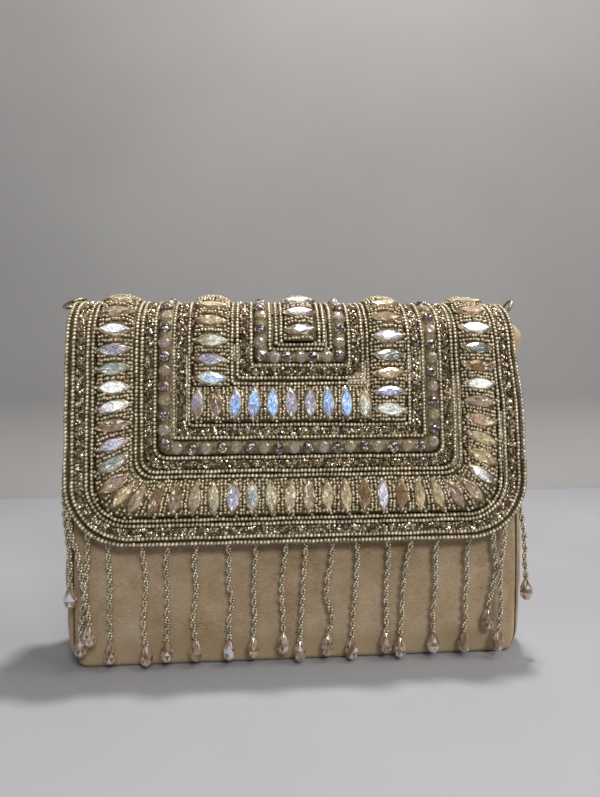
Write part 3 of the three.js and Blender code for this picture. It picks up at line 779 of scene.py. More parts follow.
def flap_rows():
    """Heights up the flap's face, closer together round its lower corners."""
    rows = [FLAP_CORNER_RADIUS * (1 - math.cos(math.pi / 2 * i / FLAP_CORNER_ROWS))
            for i in range(FLAP_CORNER_ROWS)]
    border = beading_end + 1
    rows += [lerp(FLAP_CORNER_RADIUS, border, i / FLAP_FACE_ROWS) for i in range(FLAP_FACE_ROWS)]
    return rows + [lerp(border, flap_end, i / FLAP_TAIL_ROWS) for i in range(FLAP_TAIL_ROWS + 1)]


def flap_cloth():
    rows = flap_rows()

    def place(s, t):
        v = rows[round(t * (len(rows) - 1))]
        half = flap_half_width(v)
        edge = clamp((v - beading_end) / 3, 0, 1) * 0.25 * noise.noise(Vector((s * 30, v / 5, 3)))
        return flap_point(lerp(-half, half, s), v, edge - 0.2)

    bm = skin(FLAP_COLUMNS, len(rows) - 1, place)
    if sum(face.normal.y * face.calc_center_median().y for face in bm.faces) < 0:
        bmesh.ops.reverse_faces(bm, faces=bm.faces)
    for face in bm.faces:
        centre = face.calc_center_median()
        tail_top = flap_point(centre.x / MM, beading_end + 1, 0).z
        face.material_index = 0 if centre.y > 0 and centre.z < tail_top else 1
    outer = len(bm.faces)
    thickened(bm, FLAP_THICKNESS - 0.4)
    for face in bm.faces[outer:]:
        face.material_index = 0
    piece = rides(from_bmesh("flap_cloth", bm, VELVET, GROUND), "velvet", "flap")
    return piece


flap_cloth()


# Embroidery: nested U shapes. A row's half widths are shares of half the flap's width, its foot
# heights shares of the straight front, its radii shares of the corner radius.
BAND_ROWS = [
    {"name": "bronze_band_1", "half": (0.929, 0.965), "foot": (0.072, 0.031), "radius": (0.74, 0.86)},
    {"name": "bronze_band_2", "half": (0.642, 0.675), "foot": (0.407, 0.366), "radius": (0.2, 0.27)},
    {"name": "bronze_band_3", "half": (0.499, 0.539), "foot": (0.571, 0.534), "radius": (0.05, 0.06)},
    {"name": "bronze_band_4", "half": (0.228, 0.266), "foot": (0.879, 0.839), "radius": (0.05, 0.08)},
]
OUTER_NAVETTES = {"half": (0.722, 0.883), "foot": (0.312, 0.124), "radius": (0.31, 0.55)}
MIDDLE_NAVETTES = {"half": (0.311, 0.474), "foot": (0.783, 0.597), "radius": (0.05, 0.06)}
CENTRE_NAVETTES = {"half": 0.072, "foot": 1.017}
OUTER_ROUNDS = {"half": (0.561, 0.62), "foot": (0.505, 0.433), "radius": (0.06, 0.17)}
INNER_ROUNDS = {"half": (0.146, 0.205), "foot": (0.964, 0.905), "radius": (0.03, 0.06)}

# Strings of seed beads: half width, foot height and corner radius, in millimetres. One without a foot
# runs down both sides of the middle row only.
STRINGS = [
    {"half": 103.5, "foot": -0.5, "radius": 26.9},
    {"half": 100.6, "foot": 2.0, "radius": 24.6},
    {"half": 94.4, "foot": 7.6, "radius": 18.5},
    {"half": 92.0, "foot": 9.8, "radius": 16.0},
    {"half": 73.2, "foot": 28.6, "radius": 8.0},
    {"half": 70.8, "foot": 30.9, "radius": 6.2},
    {"half": 65.0, "foot": 36.9, "radius": 5.0},
    {"half": 56.7, "foot": 45.8, "radius": 1.2},
    {"half": 50.0, "foot": 51.3, "radius": 1.2},
    {"half": 30.9, "foot": 69.8, "radius": 1.2},
    {"half": 28.5, "foot": 72.5, "radius": 1.2},
    {"half": 22.3, "foot": 78.2, "radius": 1.6},
    {"half": 13.8, "foot": 85.6, "radius": 1.0},
    {"half": 11.0, "foot": 87.7, "radius": 1.0},
]
CENTRE_STRING_HALF = 8.6


def line_of(row, share):
    """A U line at a share of the way across a row, from its inner to its outer edge, in millimetres."""
    return (half_flap * lerp(*row["half"], share), front_length * lerp(*row["foot"], share),
            FLAP_CORNER_RADIUS * lerp(*row["radius"], share))


def u_reach(row):
    """How far the row's middle line runs to each side of the foot's middle."""
    half, foot, radius = line_of(row, 0.5)
    return half - radius + radius * math.pi / 2 + beading_end - foot - radius


def u_spot(row, share, s, ease=1):
    """u and v at a share across a U row and a distance s along its middle line. With a higher ease the
    lines across the row turn square to it sooner beyond the corners."""
    middle, line = line_of(row, 0.5), line_of(row, share)
    side = -1 if s < 0 else 1
    far = abs(s)
    flat = middle[0] - middle[2]
    bend = middle[2] * math.pi / 2
    if far <= flat:
        wider = (line[0] - line[2] - flat) * (far / flat) ** ease
        return side * (far + wider), line[1]
    if far <= flat + bend:
        turn = (far - flat) / middle[2]
        return (side * (line[0] - line[2] + line[2] * math.sin(turn)),
                line[1] + line[2] * (1 - math.cos(turn)))
    start, middle_start = line[1] + line[2], middle[1] + middle[2]
    t = (far - flat - bend) / (beading_end - middle_start)
    lower = (start - middle_start) * max(1 - t, 0) ** ease
    return side * line[0], lerp(middle_start, beading_end, t) + lower


def on_u(row, ease=1):
    return lambda share, s, height: flap_point(*u_spot(row, share, s, ease), height)


def on_leg(side, inner, outer):
    return lambda share, s, height: flap_point(side * lerp(inner, outer, share), s, height)


def on_foot(low, high):
    return lambda share, s, height: flap_point(s, lerp(low, high, share), height)


def seat(at, share, s, height, turn=0.0, size=(1, 1, 1)):
    """A frame on a row: x across it, y along it and z out of the flap."""
    place = at(share, s, height)
    across = (at(share + 0.02, s, height) - at(share - 0.02, s, height)).normalized()
    out = (at(share, s, height + 1) - place).normalized()
    across = (across - out * across.dot(out)).normalized()
    along = out.cross(across)
    turned = Matrix((across, along, out)).transposed().to_4x4()
    scale = Matrix.Diagonal((size[0], size[1], size[2], 1))
    return Matrix.Translation(place) @ turned @ Matrix.Rotation(turn, 4, "Z") @ scale


def bead_shape(across, along, sides=8):
    """A barrel bead with its hole along y."""
    bm = bmesh.new()
    bmesh.ops.create_uvsphere(bm, u_segments=sides, v_segments=4, radius=0.5)
    for vert in bm.verts:
        if 0.1 < abs(vert.co.z) < 0.45:
            vert.co.xy *= 1.26
            vert.co.z *= 1.08
    bmesh.ops.rotate(bm, verts=bm.verts, matrix=Matrix.Rotation(math.pi / 2, 3, "X"))
    bmesh.ops.scale(bm, verts=bm.verts, vec=Vector((across, along, across)) * MM)
    return template(bm)


def mm_row(string):
    """A string as a row 2 mm wide, in the shares that the rows are given in."""
    half, foot, radius = string["half"], string["foot"], string["radius"]
    inner = max(radius - 1, 0.3)
    return {"half": ((half - 1) / half_flap, (half + 1) / half_flap),
            "foot": ((foot + 1) / front_length, (foot - 1) / front_length),
            "radius": (inner / FLAP_CORNER_RADIUS, (2 * radius - inner) / FLAP_CORNER_RADIUS)}


def wobble(seed, s):
    """How far hand-sewn beads stray from their line, in millimetres."""
    return 0.30 * noise.noise(Vector((s / 11, seed * 7.3, 0))) + random.uniform(-0.09, 0.09)


def string_seats():
    seats = []
    for number, string in enumerate(STRINGS):
        row = mm_row(string)
        at = on_u(row)
        reach = u_reach(row)
        s = -reach
        while s < reach:
            seats.append(seat(at, 0.5 + wobble(number, s) / 2, s, STRING_HEIGHT,
                              random.uniform(-0.12, 0.12)))
            s += SEED_BEAD_PITCH * random.uniform(0.95, 1.08)
    for side in (-1, 1):
        at = on_leg(side, CENTRE_STRING_HALF - 1, CENTRE_STRING_HALF + 1)
        s = front_length * CENTRE_NAVETTES["foot"]
        while s < beading_end:
            seats.append(seat(at, 0.5 + wobble(side, s) / 2, s, STRING_HEIGHT))
            s += SEED_BEAD_PITCH
    return seats


def bead_strings():
    shape = bead_shape(SEED_BEAD_DIAMETER, SEED_BEAD_PITCH * 1.04)
    seats = string_seats()
    half = len(seats) // 2
    rides(strewn("bead_strings_outer", shape, seats[:half], RIM_BEADS), "seed_beads")
    rides(strewn("bead_strings_inner", shape, seats[half:], RIM_BEADS), "seed_beads")


bead_strings()


# Bands of crushed beads: a dark bed with chips strewn over it.
CHIP_SIZE = 1.85
CHIP_SPACING = 1.15
CHIPS_ACROSS = 3
BED_STEPS_PER_MM = 0.5
BED_UNDER = 0.45


def chip_shape():
    bm = bmesh.new()
    bmesh.ops.create_icosphere(bm, subdivisions=1, radius=0.5)
    bmesh.ops.scale(bm, verts=bm.verts, vec=Vector((1, 1, 0.8)) * CHIP_SIZE * MM)
    for vert in bm.verts:
        vert.co *= random.uniform(0.72, 1.12)
    return template(bm)


def band_bed(name, row, top, edge, under=BED_UNDER):
    """A low closed bed along a U row, domed from its edges to its top."""
    at = on_u(row)
    reach = u_reach(row)
    columns = int(2 * reach * BED_STEPS_PER_MM)

    def place(s, t):
        return at(*bed_section(t, edge, top, under, lerp(-reach, reach, s)))

    return from_bmesh(name, skin(columns, 10, place, wrap=True), GROUND)


def bed_section(t, edge, top, under, s):
    """Share across, distance along and height on a bed's closed section; t = 0 to 1 goes round it."""
    if t > 0.8:
        return lerp(1, 0, (t - 0.8) / 0.2), s, under
    share = t / 0.8
    return share, s, lerp(edge, top, 1 - abs(2 * share - 1) ** 2.6)


def bronze_band(row):
    at = on_u(row)
    reach = u_reach(row)
    seats = []
    s = -reach
    while s < reach:
        for i in range(CHIPS_ACROSS):
            share = (i + 0.5 + random.uniform(-0.35, 0.35)) / CHIPS_ACROSS
            place = seat(at, share, s + random.uniform(-0.4, 0.4), 1.05 + random.uniform(-0.25, 0.3),
                         random.uniform(0, 6.3))
            tip = Matrix.Rotation(random.uniform(-0.7, 0.7), 4, random.choice("XY"))
            seats.append(place @ tip @ Matrix.Scale(random.uniform(0.7, 1.15), 4))
        s += CHIP_SPACING * random.uniform(0.85, 1.15)
    tints = [random.random() ** 1.25 for _ in seats]
    chips = strewn(f"{row['name']}_chips", chip_shape(), seats, CRUSHED, smooth=False, tints=tints)
    rides(chips, "bronze_beads")
    bed = band_bed(f"{row['name']}_bed", row, 0.8, 0.5, 0.1)
    rides(bed, "bronze_beads", row["name"])


for band in BAND_ROWS:
    bronze_band(band)


# Navette rows: padded welts with stones across them, and seed beads between the stones. A stone's hue
# is a letter of its row's chart, read along the foot from the left and up each leg.
# Hue w, pure white, is a painted flash: a stone showing a lamp's reflection.
HUES = {
    "w": (1.00, 1.00, 1.00), "m": (0.68, 0.73, 0.70), "g": (0.34, 0.38, 0.37),
    "l": (0.40, 0.39, 0.49), "v": (0.62, 0.60, 0.69), "b": (0.36, 0.43, 0.62),
    "s": (0.42, 0.62, 0.94), "c": (0.44, 0.36, 0.245), "y": (0.48, 0.405, 0.235),
    "p": (0.44, 0.32, 0.235), "a": (0.22, 0.145, 0.08), "e": (0.42, 0.405, 0.28),
    "d": (0.11, 0.14, 0.15), "k": (0.28, 0.215, 0.19),
}
SECOND_HUES = {
    "w": "w", "m": "mwc", "g": "gmd", "l": "lvk", "v": "vwl", "b": "bs", "s": "sm", "c": "cyk",
    "y": "yce", "p": "pca", "a": "akc", "e": "eyc", "d": "dgw", "k": "kac",
}
NAVETTE_EDGE = (0.31, 0.245, 0.15)
OUTER_CHART = {"foot": "ycakcelgeccecavaceac", "left": "cgvkvwglvcypcvc", "right": "dcypcmagwpcvycpc"}
MIDDLE_CHARTS = ("slmpcvyc", "lkbbsllbsm", "mbcgvpcyvc")
CENTRE_CHART = "lvmcyvc"
LEFT_LEG_SHIFT = 4
OUTER_HALF_FOOT = 10 * NAVETTE_PITCH
OUTER_EASE = 5
CREST_SHARES = (0.36, 0.56)


def raised(bm, face, up, scale):
    """Extrudes a face along z, and narrows it. Returns the face at the end."""
    made = bmesh.ops.extrude_face_region(bm, geom=[face])["geom"]
    verts = [item for item in made if isinstance(item, bmesh.types.BMVert)]
    bmesh.ops.translate(bm, verts=verts, vec=Vector((0, 0, up * MM)))
    bmesh.ops.scale(bm, verts=verts, vec=(scale, scale, 1))
    return next(item for item in made if isinstance(item, bmesh.types.BMFace))


def cut_stone(bm, rise, table):
    """From a flat outline: a back below it, a crown of two rings of facets, and a low faceted table."""
    girdle = bm.faces[:][0]
    bmesh.ops.recalc_face_normals(bm, faces=bm.faces)
    made = bmesh.ops.extrude_face_region(bm, geom=[girdle], use_keep_orig=True)["geom"]
    verts = [item for item in made if isinstance(item, bmesh.types.BMVert)]
    bmesh.ops.translate(bm, verts=verts, vec=Vector((0, 0, -0.9 * MM)))
    bmesh.ops.scale(bm, verts=verts, vec=(0.82, 0.82, 1))
    middle = lerp(1, table, 0.45)
    crown = raised(bm, girdle, rise * 0.56, middle)
    edge = raised(bm, crown, rise * 0.34, table / middle)
    top = raised(bm, edge, rise * 0.10, 0.52)
    bmesh.ops.poke(bm, faces=[top])
    return template(bm)


def navette_shape():
    """A pointed oval stone."""
    bm = bmesh.new()
    bmesh.ops.create_circle(bm, cap_ends=True, segments=14, radius=1)
    for vert in bm.verts:
        wide = math.copysign(vert.co.y**2, vert.co.y)
        vert.co = Vector((vert.co.x * NAVETTE_LENGTH / 2, wide * NAVETTE_WIDTH / 2, 0)) * MM
    return cut_stone(bm, NAVETTE_RISE, NAVETTE_TABLE)


def off_crest(places, foot=0):
    """The stones' places without those on the flap's crest, where beads alone are sewn. foot is the
    height along the flap that a row's distances start from."""
    low, high = (front_length + share * arch_length - foot for share in CREST_SHARES)
    return [s for s in places if not low < abs(s) < high]


def pitched(start, end, pitch, lead):
    """Places at a pitch between two ends, the first a lead beyond the start."""
    places = []
    s = start + lead
    while s <= end - min(pitch / 2, 3.1):
        places.append(s)
        s += pitch
    return places


def centred_places(row, pitch, offset):
    """Places along a U row, the one nearest the foot's middle an offset share of the pitch off it."""
    reach = u_reach(row)
    before = math.floor(reach / pitch + offset - 0.5)
    return pitched(-reach, reach, pitch, reach - (before - offset) * pitch)


def outer_places():
    """Places of the outer navettes: closer together round the left corner than elsewhere."""
    half, foot, radius = line_of(OUTER_NAVETTES, 0.5)
    flat = half - radius
    bend = radius * math.pi / 2
    places = []
    reach = u_reach(OUTER_NAVETTES)
    for s in centred_places(OUTER_NAVETTES, NAVETTE_PITCH, 0.33):
        places.append(s + LEFT_LEG_SHIFT * clamp((-s - flat) / bend, 0, 1))
    first = places[0] - NAVETTE_PITCH
    places = ([first] if first > -reach + 2 else []) + places
    return off_crest(places, beading_end - reach)


def chart_hues(chart, places, half_foot):
    """A row's hues: its foot's letters in order, and each leg's from the foot upwards."""
    left = [s for s in places if s < -half_foot]
    right = [s for s in places if s > half_foot]
    foot = [s for s in places if -half_foot <= s <= half_foot]
    hues = [chart["left"][i % len(chart["left"])] for i in range(len(left))][::-1]
    hues += [chart["foot"][i % len(chart["foot"])] for i in range(len(foot))]
    return hues + [chart["right"][i % len(chart["right"])] for i in range(len(right))]


def welt_height(share):
    return lerp(WELT_EDGE_HEIGHT, WELT_HEIGHT, 1 - abs(2 * share - 1) ** 2.6)


def welt(name, at, start, end):
    """The padded channel itself."""
    columns = max(int((end - start) / 1.6), 2)

    def place(s, t):
        along = lerp(start, end, s)
        return at(*bed_section(t, WELT_EDGE_HEIGHT, WELT_HEIGHT, BED_UNDER, along))

    return from_bmesh(name, skin(columns, 14, place, wrap=True), GROUND)


BEAD_ROWS_A_STONE = 5
TIP_GAP = 1.6
SMALL_BEAD_DIAMETER = 1.65
SMALL_BEAD_PITCH = 1.36


def navette_beads(at, places, start, end, width):
    """Seats for the beads sewn across a welt, wherever no stone covers them."""
    seats = []
    step = NAVETTE_PITCH / BEAD_ROWS_A_STONE
    across = int(width / SMALL_BEAD_PITCH)
    s = start + step / 2
    while s < end:
        off = min((abs(s - place) for place in places), default=99)
        for i in range(across):
            share = (i + 0.5) / across
            x = (share - 0.5) * width
            covered = NAVETTE_WIDTH / 2 * max(1 - (2 * x / NAVETTE_LENGTH) ** 2, 0)
            if covered and off < covered - 0.2 or share > 0.93 and off > TIP_GAP:
                continue
            place = share + random.uniform(-0.025, 0.025), s + random.uniform(-0.28, 0.28)
            height = welt_height(share) + random.uniform(0.45, 0.8)
            seats.append(seat(at, *place, height, math.pi / 2 + random.uniform(-0.35, 0.35)))
        s += step
    return seats


def navette_row(name, strips):
    """strips: each channel's place function, two ends, width, stones' places and their hues."""
    stones, beads, tones = [], [], []
    for number, (at, start, end, width, places, hues) in enumerate(strips):
        rides(welt(f"{name}_welt_{number}", at, start, end), "stone_channel")
        beads += navette_beads(at, places, start, end, width)
        tones += [(HUES[hue], HUES[random.choice(SECOND_HUES[hue])]) for hue in hues]
        for s in places:
            place = seat(at, 0.5, s, WELT_HEIGHT - 0.25, random.uniform(-0.07, 0.07),
                         (random.uniform(0.95, 1.03), random.uniform(0.88, 1.06), 1))
            tilt = Matrix.Rotation(random.uniform(-0.10, 0.10), 4, "X")
            roll = Matrix.Rotation(random.uniform(-0.05, 0.05), 4, "Y")
            stones.append(place @ tilt @ roll)
    shape = navette_shape()
    piece = strewn(f"{name}_stones", shape, stones, NAVETTE, smooth=False)
    painted(piece, shape, tones, NAVETTE_EDGE, (0.98, 0.94, 0.84), 0.60, 0.09, (0.17, 0.11, 0.055))
    rides(piece, "stone_channel", name)
    small = bead_shape(SMALL_BEAD_DIAMETER, SMALL_BEAD_PITCH * 1.12, 6)
    rides(strewn(f"{name}_beads", small, beads, CHANNEL_BEADS), "stone_channel")


def leg_hues(chart, places):
    return [chart[i % len(chart)] for i in range(len(places))]


def all_navette_rows():
    reach = u_reach(OUTER_NAVETTES)
    width = half_flap * (OUTER_NAVETTES["half"][1] - OUTER_NAVETTES["half"][0])
    places = outer_places()
    hues = chart_hues(OUTER_CHART, places, OUTER_HALF_FOOT)
    at = on_u(OUTER_NAVETTES, ease=OUTER_EASE)
    navette_row("outer_marquise_row", [(at, -reach, reach, width, places, hues)])
    inner, foot_high, _ = line_of(MIDDLE_NAVETTES, 0)
    rim, foot_low, _ = line_of(MIDDLE_NAVETTES, 1)
    strips = []
    for chart, lead, start, end, at in (
            (MIDDLE_CHARTS[0], 3.6, foot_high, beading_end, on_leg(-1, inner, rim)),
            (MIDDLE_CHARTS[1], 2.8, -rim, inner, on_foot(foot_high, foot_low)),
            (MIDDLE_CHARTS[2], 5.4, foot_low, beading_end, on_leg(1, inner, rim))):
        places = off_crest(pitched(start, end, NAVETTE_PITCH - 0.05, lead))
        strips.append((at, start, end, rim - inner, places, leg_hues(chart, places)))
    navette_row("middle_marquise_row", strips)
    half = half_flap * CENTRE_NAVETTES["half"]
    start = front_length * CENTRE_NAVETTES["foot"]
    places = off_crest(pitched(start, beading_end, NAVETTE_PITCH, NAVETTE_PITCH / 2))
    navette_row("centre_marquise_row", [
        (on_leg(1, -half, half), start, beading_end, 2 * half, places, leg_hues(CENTRE_CHART, places))])


all_navette_rows()


# Rows of round stones: smoky ones at the pitch, milky ones midway.
SMOKY_TONES = ((0.060, 0.038, 0.032), (0.022, 0.016, 0.015), (0.13, 0.085, 0.072))
MILKY_TONES = ((0.33, 0.235, 0.155), (0.33, 0.26, 0.235), (0.29, 0.225, 0.125))


def round_stone_shape(diameter, rise, table):
    bm = bmesh.new()
    bmesh.ops.create_circle(bm, cap_ends=True, segments=10, radius=diameter / 2 * MM)
    return cut_stone(bm, rise, table)


def round_row(name, row, pitch, offset):
    at = on_u(row)
    smoky_places = centred_places(row, pitch, offset)
    milky_places = [s + pitch / 2 for s in smoky_places[:-1]]
    bed = band_bed(f"{name}_bed", row, ROUND_ROW_HEIGHT, ROUND_ROW_EDGE_HEIGHT)
    rides(bed, "round_stone_channel")
    smoky = round_stone_shape(ROUND_STONE_DIAMETER - 0.3, ROUND_STONE_RISE, 0.55)
    stones = [seat(at, 0.5 + random.uniform(-0.06, 0.06), s + random.uniform(-0.4, 0.4),
                   ROUND_ROW_HEIGHT - 0.2, random.uniform(0, 1)) for s in smoky_places]
    piece = strewn(f"{name}_smoky", smoky, stones, SMOKY, smooth=False)
    tones = [random.choices(SMOKY_TONES, k=2) for _ in stones]
    painted(piece, smoky, tones, (0.10, 0.07, 0.055), (1.0, 0.82, 0.76), 0.9, 0.11)
    rides(piece, "round_stone_channel", name)
    milky = round_stone_shape(ROUND_STONE_DIAMETER - 0.1, ROUND_STONE_RISE * 0.7, 0.62)
    seats = [seat(at, 0.5 + random.uniform(-0.06, 0.06), s + random.uniform(-0.5, 0.5),
                  ROUND_ROW_HEIGHT - 0.35, random.uniform(0, 1)) for s in milky_places]
    pale = strewn(f"{name}_milky", milky, seats, MILKY, smooth=False)
    tones = [random.choices(MILKY_TONES, k=2) for _ in seats]
    painted(pale, milky, tones, (0.22, 0.165, 0.09), (0.70, 0.60, 0.62), 0.25, 0.05)
    rides(pale, "round_stone_channel")


round_row("outer_round_row", OUTER_ROUNDS, ROUND_STONE_PITCH, 0.23)
round_row("inner_round_row", INNER_ROUNDS, INNER_ROUND_PITCH, 0.5)


# Fringe, left to right: where a strand leaves the flap's edge, how much of the height it takes, how
# far it lies over its neighbours, and its sway at each fifth; the last two in strand diameters.
STRANDS = [
    {"at": -0.967, "reach": 0.665, "over": 0, "sway": (-0.1, 0.1, 0.67, 1.14, 1.14)},
    {"at": -0.855, "reach": 0.82, "over": 1.15, "sway": (0.71, 2.1, 2.86, 3.71, 4.33)},
    {"at": -0.746, "reach": 0.877, "over": 0, "sway": (-0.05, -0.38, -0.86, -1.38, -1.81)},
    {"at": -0.667, "reach": 0.932, "over": 0, "sway": (0.1, 0.33, 0.1, 0.05, 0)},
    {"at": -0.554, "reach": 0.96, "over": 0, "sway": (0.67, 0.86, 0.48, 0.14, 0.62)},
    {"at": -0.463, "reach": 0.934, "over": 0, "sway": (-0.57, -0.33, -0.38, -0.38, -0.62)},
    {"at": -0.367, "reach": 0.935, "over": 0, "sway": (-0.48, -0.1, -0.43, -0.95, -0.38)},
    {"at": -0.257, "reach": 0.939, "over": 0, "sway": (0.14, -0.05, 0.76, 0.05, 0)},
    {"at": -0.159, "reach": 0.926, "over": 0, "sway": (-0.38, -0.62, -0.67, -0.43, -0.86)},
    {"at": -0.054, "reach": 0.901, "over": 0, "sway": (-0.48, -1.0, -1.14, -0.81, -0.81)},
    {"at": 0.016, "reach": 0.971, "over": 0, "sway": (-0.38, -0.71, -0.95, -1.19, -1.48)},
    {"at": 0.108, "reach": 0.936, "over": 0, "sway": (-0.29, -1.19, -1.29, -0.1, -1.1)},
    {"at": 0.196, "reach": 0.971, "over": 0, "sway": (0, -0.24, -0.62, -0.95, -1.1)},
    {"at": 0.306, "reach": 0.928, "over": 0, "sway": (0.14, -0.24, -0.43, -0.29, -0.29)},
    {"at": 0.394, "reach": 0.971, "over": 0, "sway": (-1.19, -1.81, -2.19, -2.24, -2.57)},
    {"at": 0.483, "reach": 0.945, "over": 0, "sway": (-0.24, -0.24, -0.33, -0.76, -0.52)},
    {"at": 0.601, "reach": 0.95, "over": 0, "sway": (-0.48, -0.33, -0.71, -0.62, -0.76)},
    {"at": 0.694, "reach": 0.778, "over": 0, "sway": (0.19, 0.67, 0.43, -0.29, -0.95)},
    {"at": 0.751, "reach": 0.937, "over": 1.15, "sway": (-0.95, -1.62, -1.67, -1.48, -1.95)},
    {"at": 0.834, "reach": 0.627, "over": 0, "sway": (0.76, 1.19, 1.38, 1.43, 1.71)},
]


def rim_line():
    """Points round the flap's lower edge, outside it, from the left side to the right, as (u, v)."""
    out = SEAM_GAP + STRAND_DIAMETER / 2
    half, foot, radius = half_flap + out, -out, FLAP_CORNER_RADIUS + out
    right = []
    steps = 20
    for i in range(steps + 1):
        a = math.pi / 2 * i / steps
        right.append((half - radius + radius * math.sin(a), foot + radius - radius * math.cos(a)))
    right.append((half, FLAP_CORNER_RADIUS + HEAD_TAIL))
    return [(-u, v) for u, v in reversed(right)] + right


def rim_spot(share):
    """A point at a share of the rim's length from its left end."""
    line = rim_line()
    lengths = [math.dist(a, b) for a, b in zip(line, line[1:])]
    left = share * sum(lengths)
    for (a, b), length in zip(zip(line, line[1:]), lengths):
        if left <= length:
            return lerp(a[0], b[0], left / length), lerp(a[1], b[1], left / length)
        left -= length
    return line[-1]


def strand_points(strand):
    u, v = rim_spot(0.5 + strand["at"] / 2)
    top = flap_point(u, v, -FLAP_THICKNESS / 2) / MM
    end = top.z * (1 - strand["reach"]) + DROP_LENGTH + SEAM_GAP
    points = [top]
    for i, sway in enumerate(strand["sway"]):
        share = (i + 1) / len(strand["sway"])
        z = lerp(top.z, end, share)
        hang = lerp(top.y, -half_depth(z) - STRAND_REST_GAP - STRAND_DIAMETER / 2, share)
        y = hang - strand["over"] * STRAND_DIAMETER
        points.append(Vector((top.x + sway * STRAND_DIAMETER, y, z)))
    return points


def curved(points, share):
    """A point on a smooth curve through points."""
    at = clamp(share, 0, 1) * (len(points) - 1)
    i = min(int(at), len(points) - 2)
    t = at - i
    a, b = points[i], points[i + 1]
    before = points[i - 1] if i else a * 2 - b
    after = points[i + 2] if i + 2 < len(points) else b * 2 - a
    bend = 2 * before - 5 * a + 4 * b - after
    return 0.5 * (2 * a + (b - before) * t + bend * t**2 + (3 * a - before - 3 * b + after) * t**3)


def strand_seats(points):
    """Two threads of small beads twisted round each other."""
    length = sum((b - a).length for a, b in zip(points, points[1:]))
    count = int(length / STRAND_BEAD_PITCH)
    phase = random.uniform(0, 6)
    seats = []
    for i in range(count):
        share = (i + 0.5) / count
        place = curved(points, share)
        along = (curved(points, share + 0.01) - curved(points, share - 0.01)).normalized()
        side = along.cross(Vector((0, 1, 0))).normalized()
        front = along.cross(side)
        for thread in (0, 1):
            a = phase + 2 * math.pi * (share * length / STRAND_TWIST + thread / 2)
            off = (side * math.cos(a) + front * math.sin(a)) * STRAND_THREAD_GAP / 2
            # Each bead's top, where its painted highlight sits, turns mostly to the front.
            face = (front + off * 0.8).normalized()
            turned = Matrix((along.cross(face), along, face)).transposed().to_4x4()
            spot = place + off + along * (0.5 * thread * STRAND_BEAD_PITCH)
            seats.append(Matrix.Translation(spot * MM) @ turned)
    return seats


DROP_PROFILE = ((0.42, 0.0), (0.80, 0.13), (1.0, 0.40), (0.90, 0.60), (0.62, 0.83), (0.34, 1.0))
# Painted flashes: drops with one large facet that shows a lamp.
DROP_FLASHES = {1: (0.82, 0.84, 1.0), 8: (0.78, 0.84, 0.92)}
FLASH_HEIGHTS = (0.40, 0.72)
FLASH_FACES = -0.72
DROP_LIT_BOTTOM_SHARE = 0.24
# Drop facet tones. Upper: brown-pink, painted lighter and darker, and a white painted glint. Lower:
# painted light gathered in the tip.
DROP_TONES = {
    "upper": ((0.36, 0.225, 0.150), (0.54, 0.370, 0.265), (0.22, 0.135, 0.085), (0.72, 0.53, 0.42),
              (0.44, 0.290, 0.210), (0.30, 0.190, 0.130), (0.50, 0.340, 0.245), (1.00, 0.92, 0.90)),
    "lower": ((0.96, 0.79, 0.65), (0.80, 0.58, 0.43), (1.00, 0.93, 0.86), (0.44, 0.29, 0.19)),
}


def drop_shape():
    """A faceted pear hanging from its neck: rings of facets, each turned half a facet."""
    bm = bmesh.new()
    facets = 8
    for number, (across, up) in enumerate(DROP_PROFILE):
        turn = Matrix.Rotation(math.pi / facets * (number % 2), 4, "Z")
        bmesh.ops.create_circle(bm, segments=facets, radius=across * DROP_DIAMETER / 2 * MM,
                                matrix=Matrix.Translation((0, 0, up * DROP_LENGTH * MM)) @ turn)
    bmesh.ops.convex_hull(bm, input=bm.verts[:], use_existing_faces=False)
    wires = [edge for edge in bm.edges if not edge.link_faces]
    bmesh.ops.delete(bm, geom=wires, context="EDGES")
    return template(bm)


def paint_drop(piece, flash=None):
    """Facet colours of a drop: brown-pink above, with painted glints and facets painted lighter or
    darker, and painted light on the facets below. Some drops have one large facet with a painted flash."""
    mesh = piece.data
    colours = mesh.color_attributes.new("tone", "FLOAT_COLOR", "CORNER")
    values = np.ones((len(mesh.loops), 4))
    low = min(vert.co.z for vert in mesh.vertices)
    for face in mesh.polygons:
        up = (face.center.z - low) / (DROP_LENGTH * MM)
        tones = DROP_TONES["lower" if up < DROP_LIT_BOTTOM_SHARE else "upper"]
        tone = random.choice(tones)
        if flash and FLASH_HEIGHTS[0] < up < FLASH_HEIGHTS[1] and face.normal.y < FLASH_FACES:
            tone = flash
        values[face.loop_start:face.loop_start + 3, :3] = tone
    colours.data.foreach_set("color", values.ravel())


def fringe():
    seats = []
    pear = drop_shape()
    for number, strand in enumerate(STRANDS, 1):
        points = strand_points(strand)
        seats += strand_seats(points)
        name = f"drop_{number:02d}"
        foot = points[-1] - Vector((0, 0, SEAM_GAP + DROP_LENGTH))
        place = Matrix.Translation(foot * MM) @ Matrix.Rotation(random.uniform(0, 1), 4, "Z")
        piece = strewn(f"crystal_{name}", pear, [place], PEACH, smooth=False)
        paint_drop(piece, DROP_FLASHES.get(number))
        rides(piece, "crystal", name)
    shape = bead_shape(STRAND_BEAD_DIAMETER, STRAND_BEAD_PITCH, 6)
    rides(strewn("fringe_beads", shape, seats, FRINGE_BEADS), "seed_beads", "fringe")
    knots = []
    line = rim_line()
    length = sum(math.dist(a, b) for a, b in zip(line, line[1:]))
    count = int(length / SEED_BEAD_PITCH)
    for i in range(count):
        u, v = rim_spot((i + 0.5) / count)
        knots.append(Matrix.Translation(flap_point(u, v, -FLAP_THICKNESS / 2 + 0.4)))
    rim = bead_shape(SEED_BEAD_DIAMETER, SEED_BEAD_DIAMETER * 0.9)
    rides(strewn("rim_beads", rim, knots, RIM_BEADS), "seed_beads")


fringe()


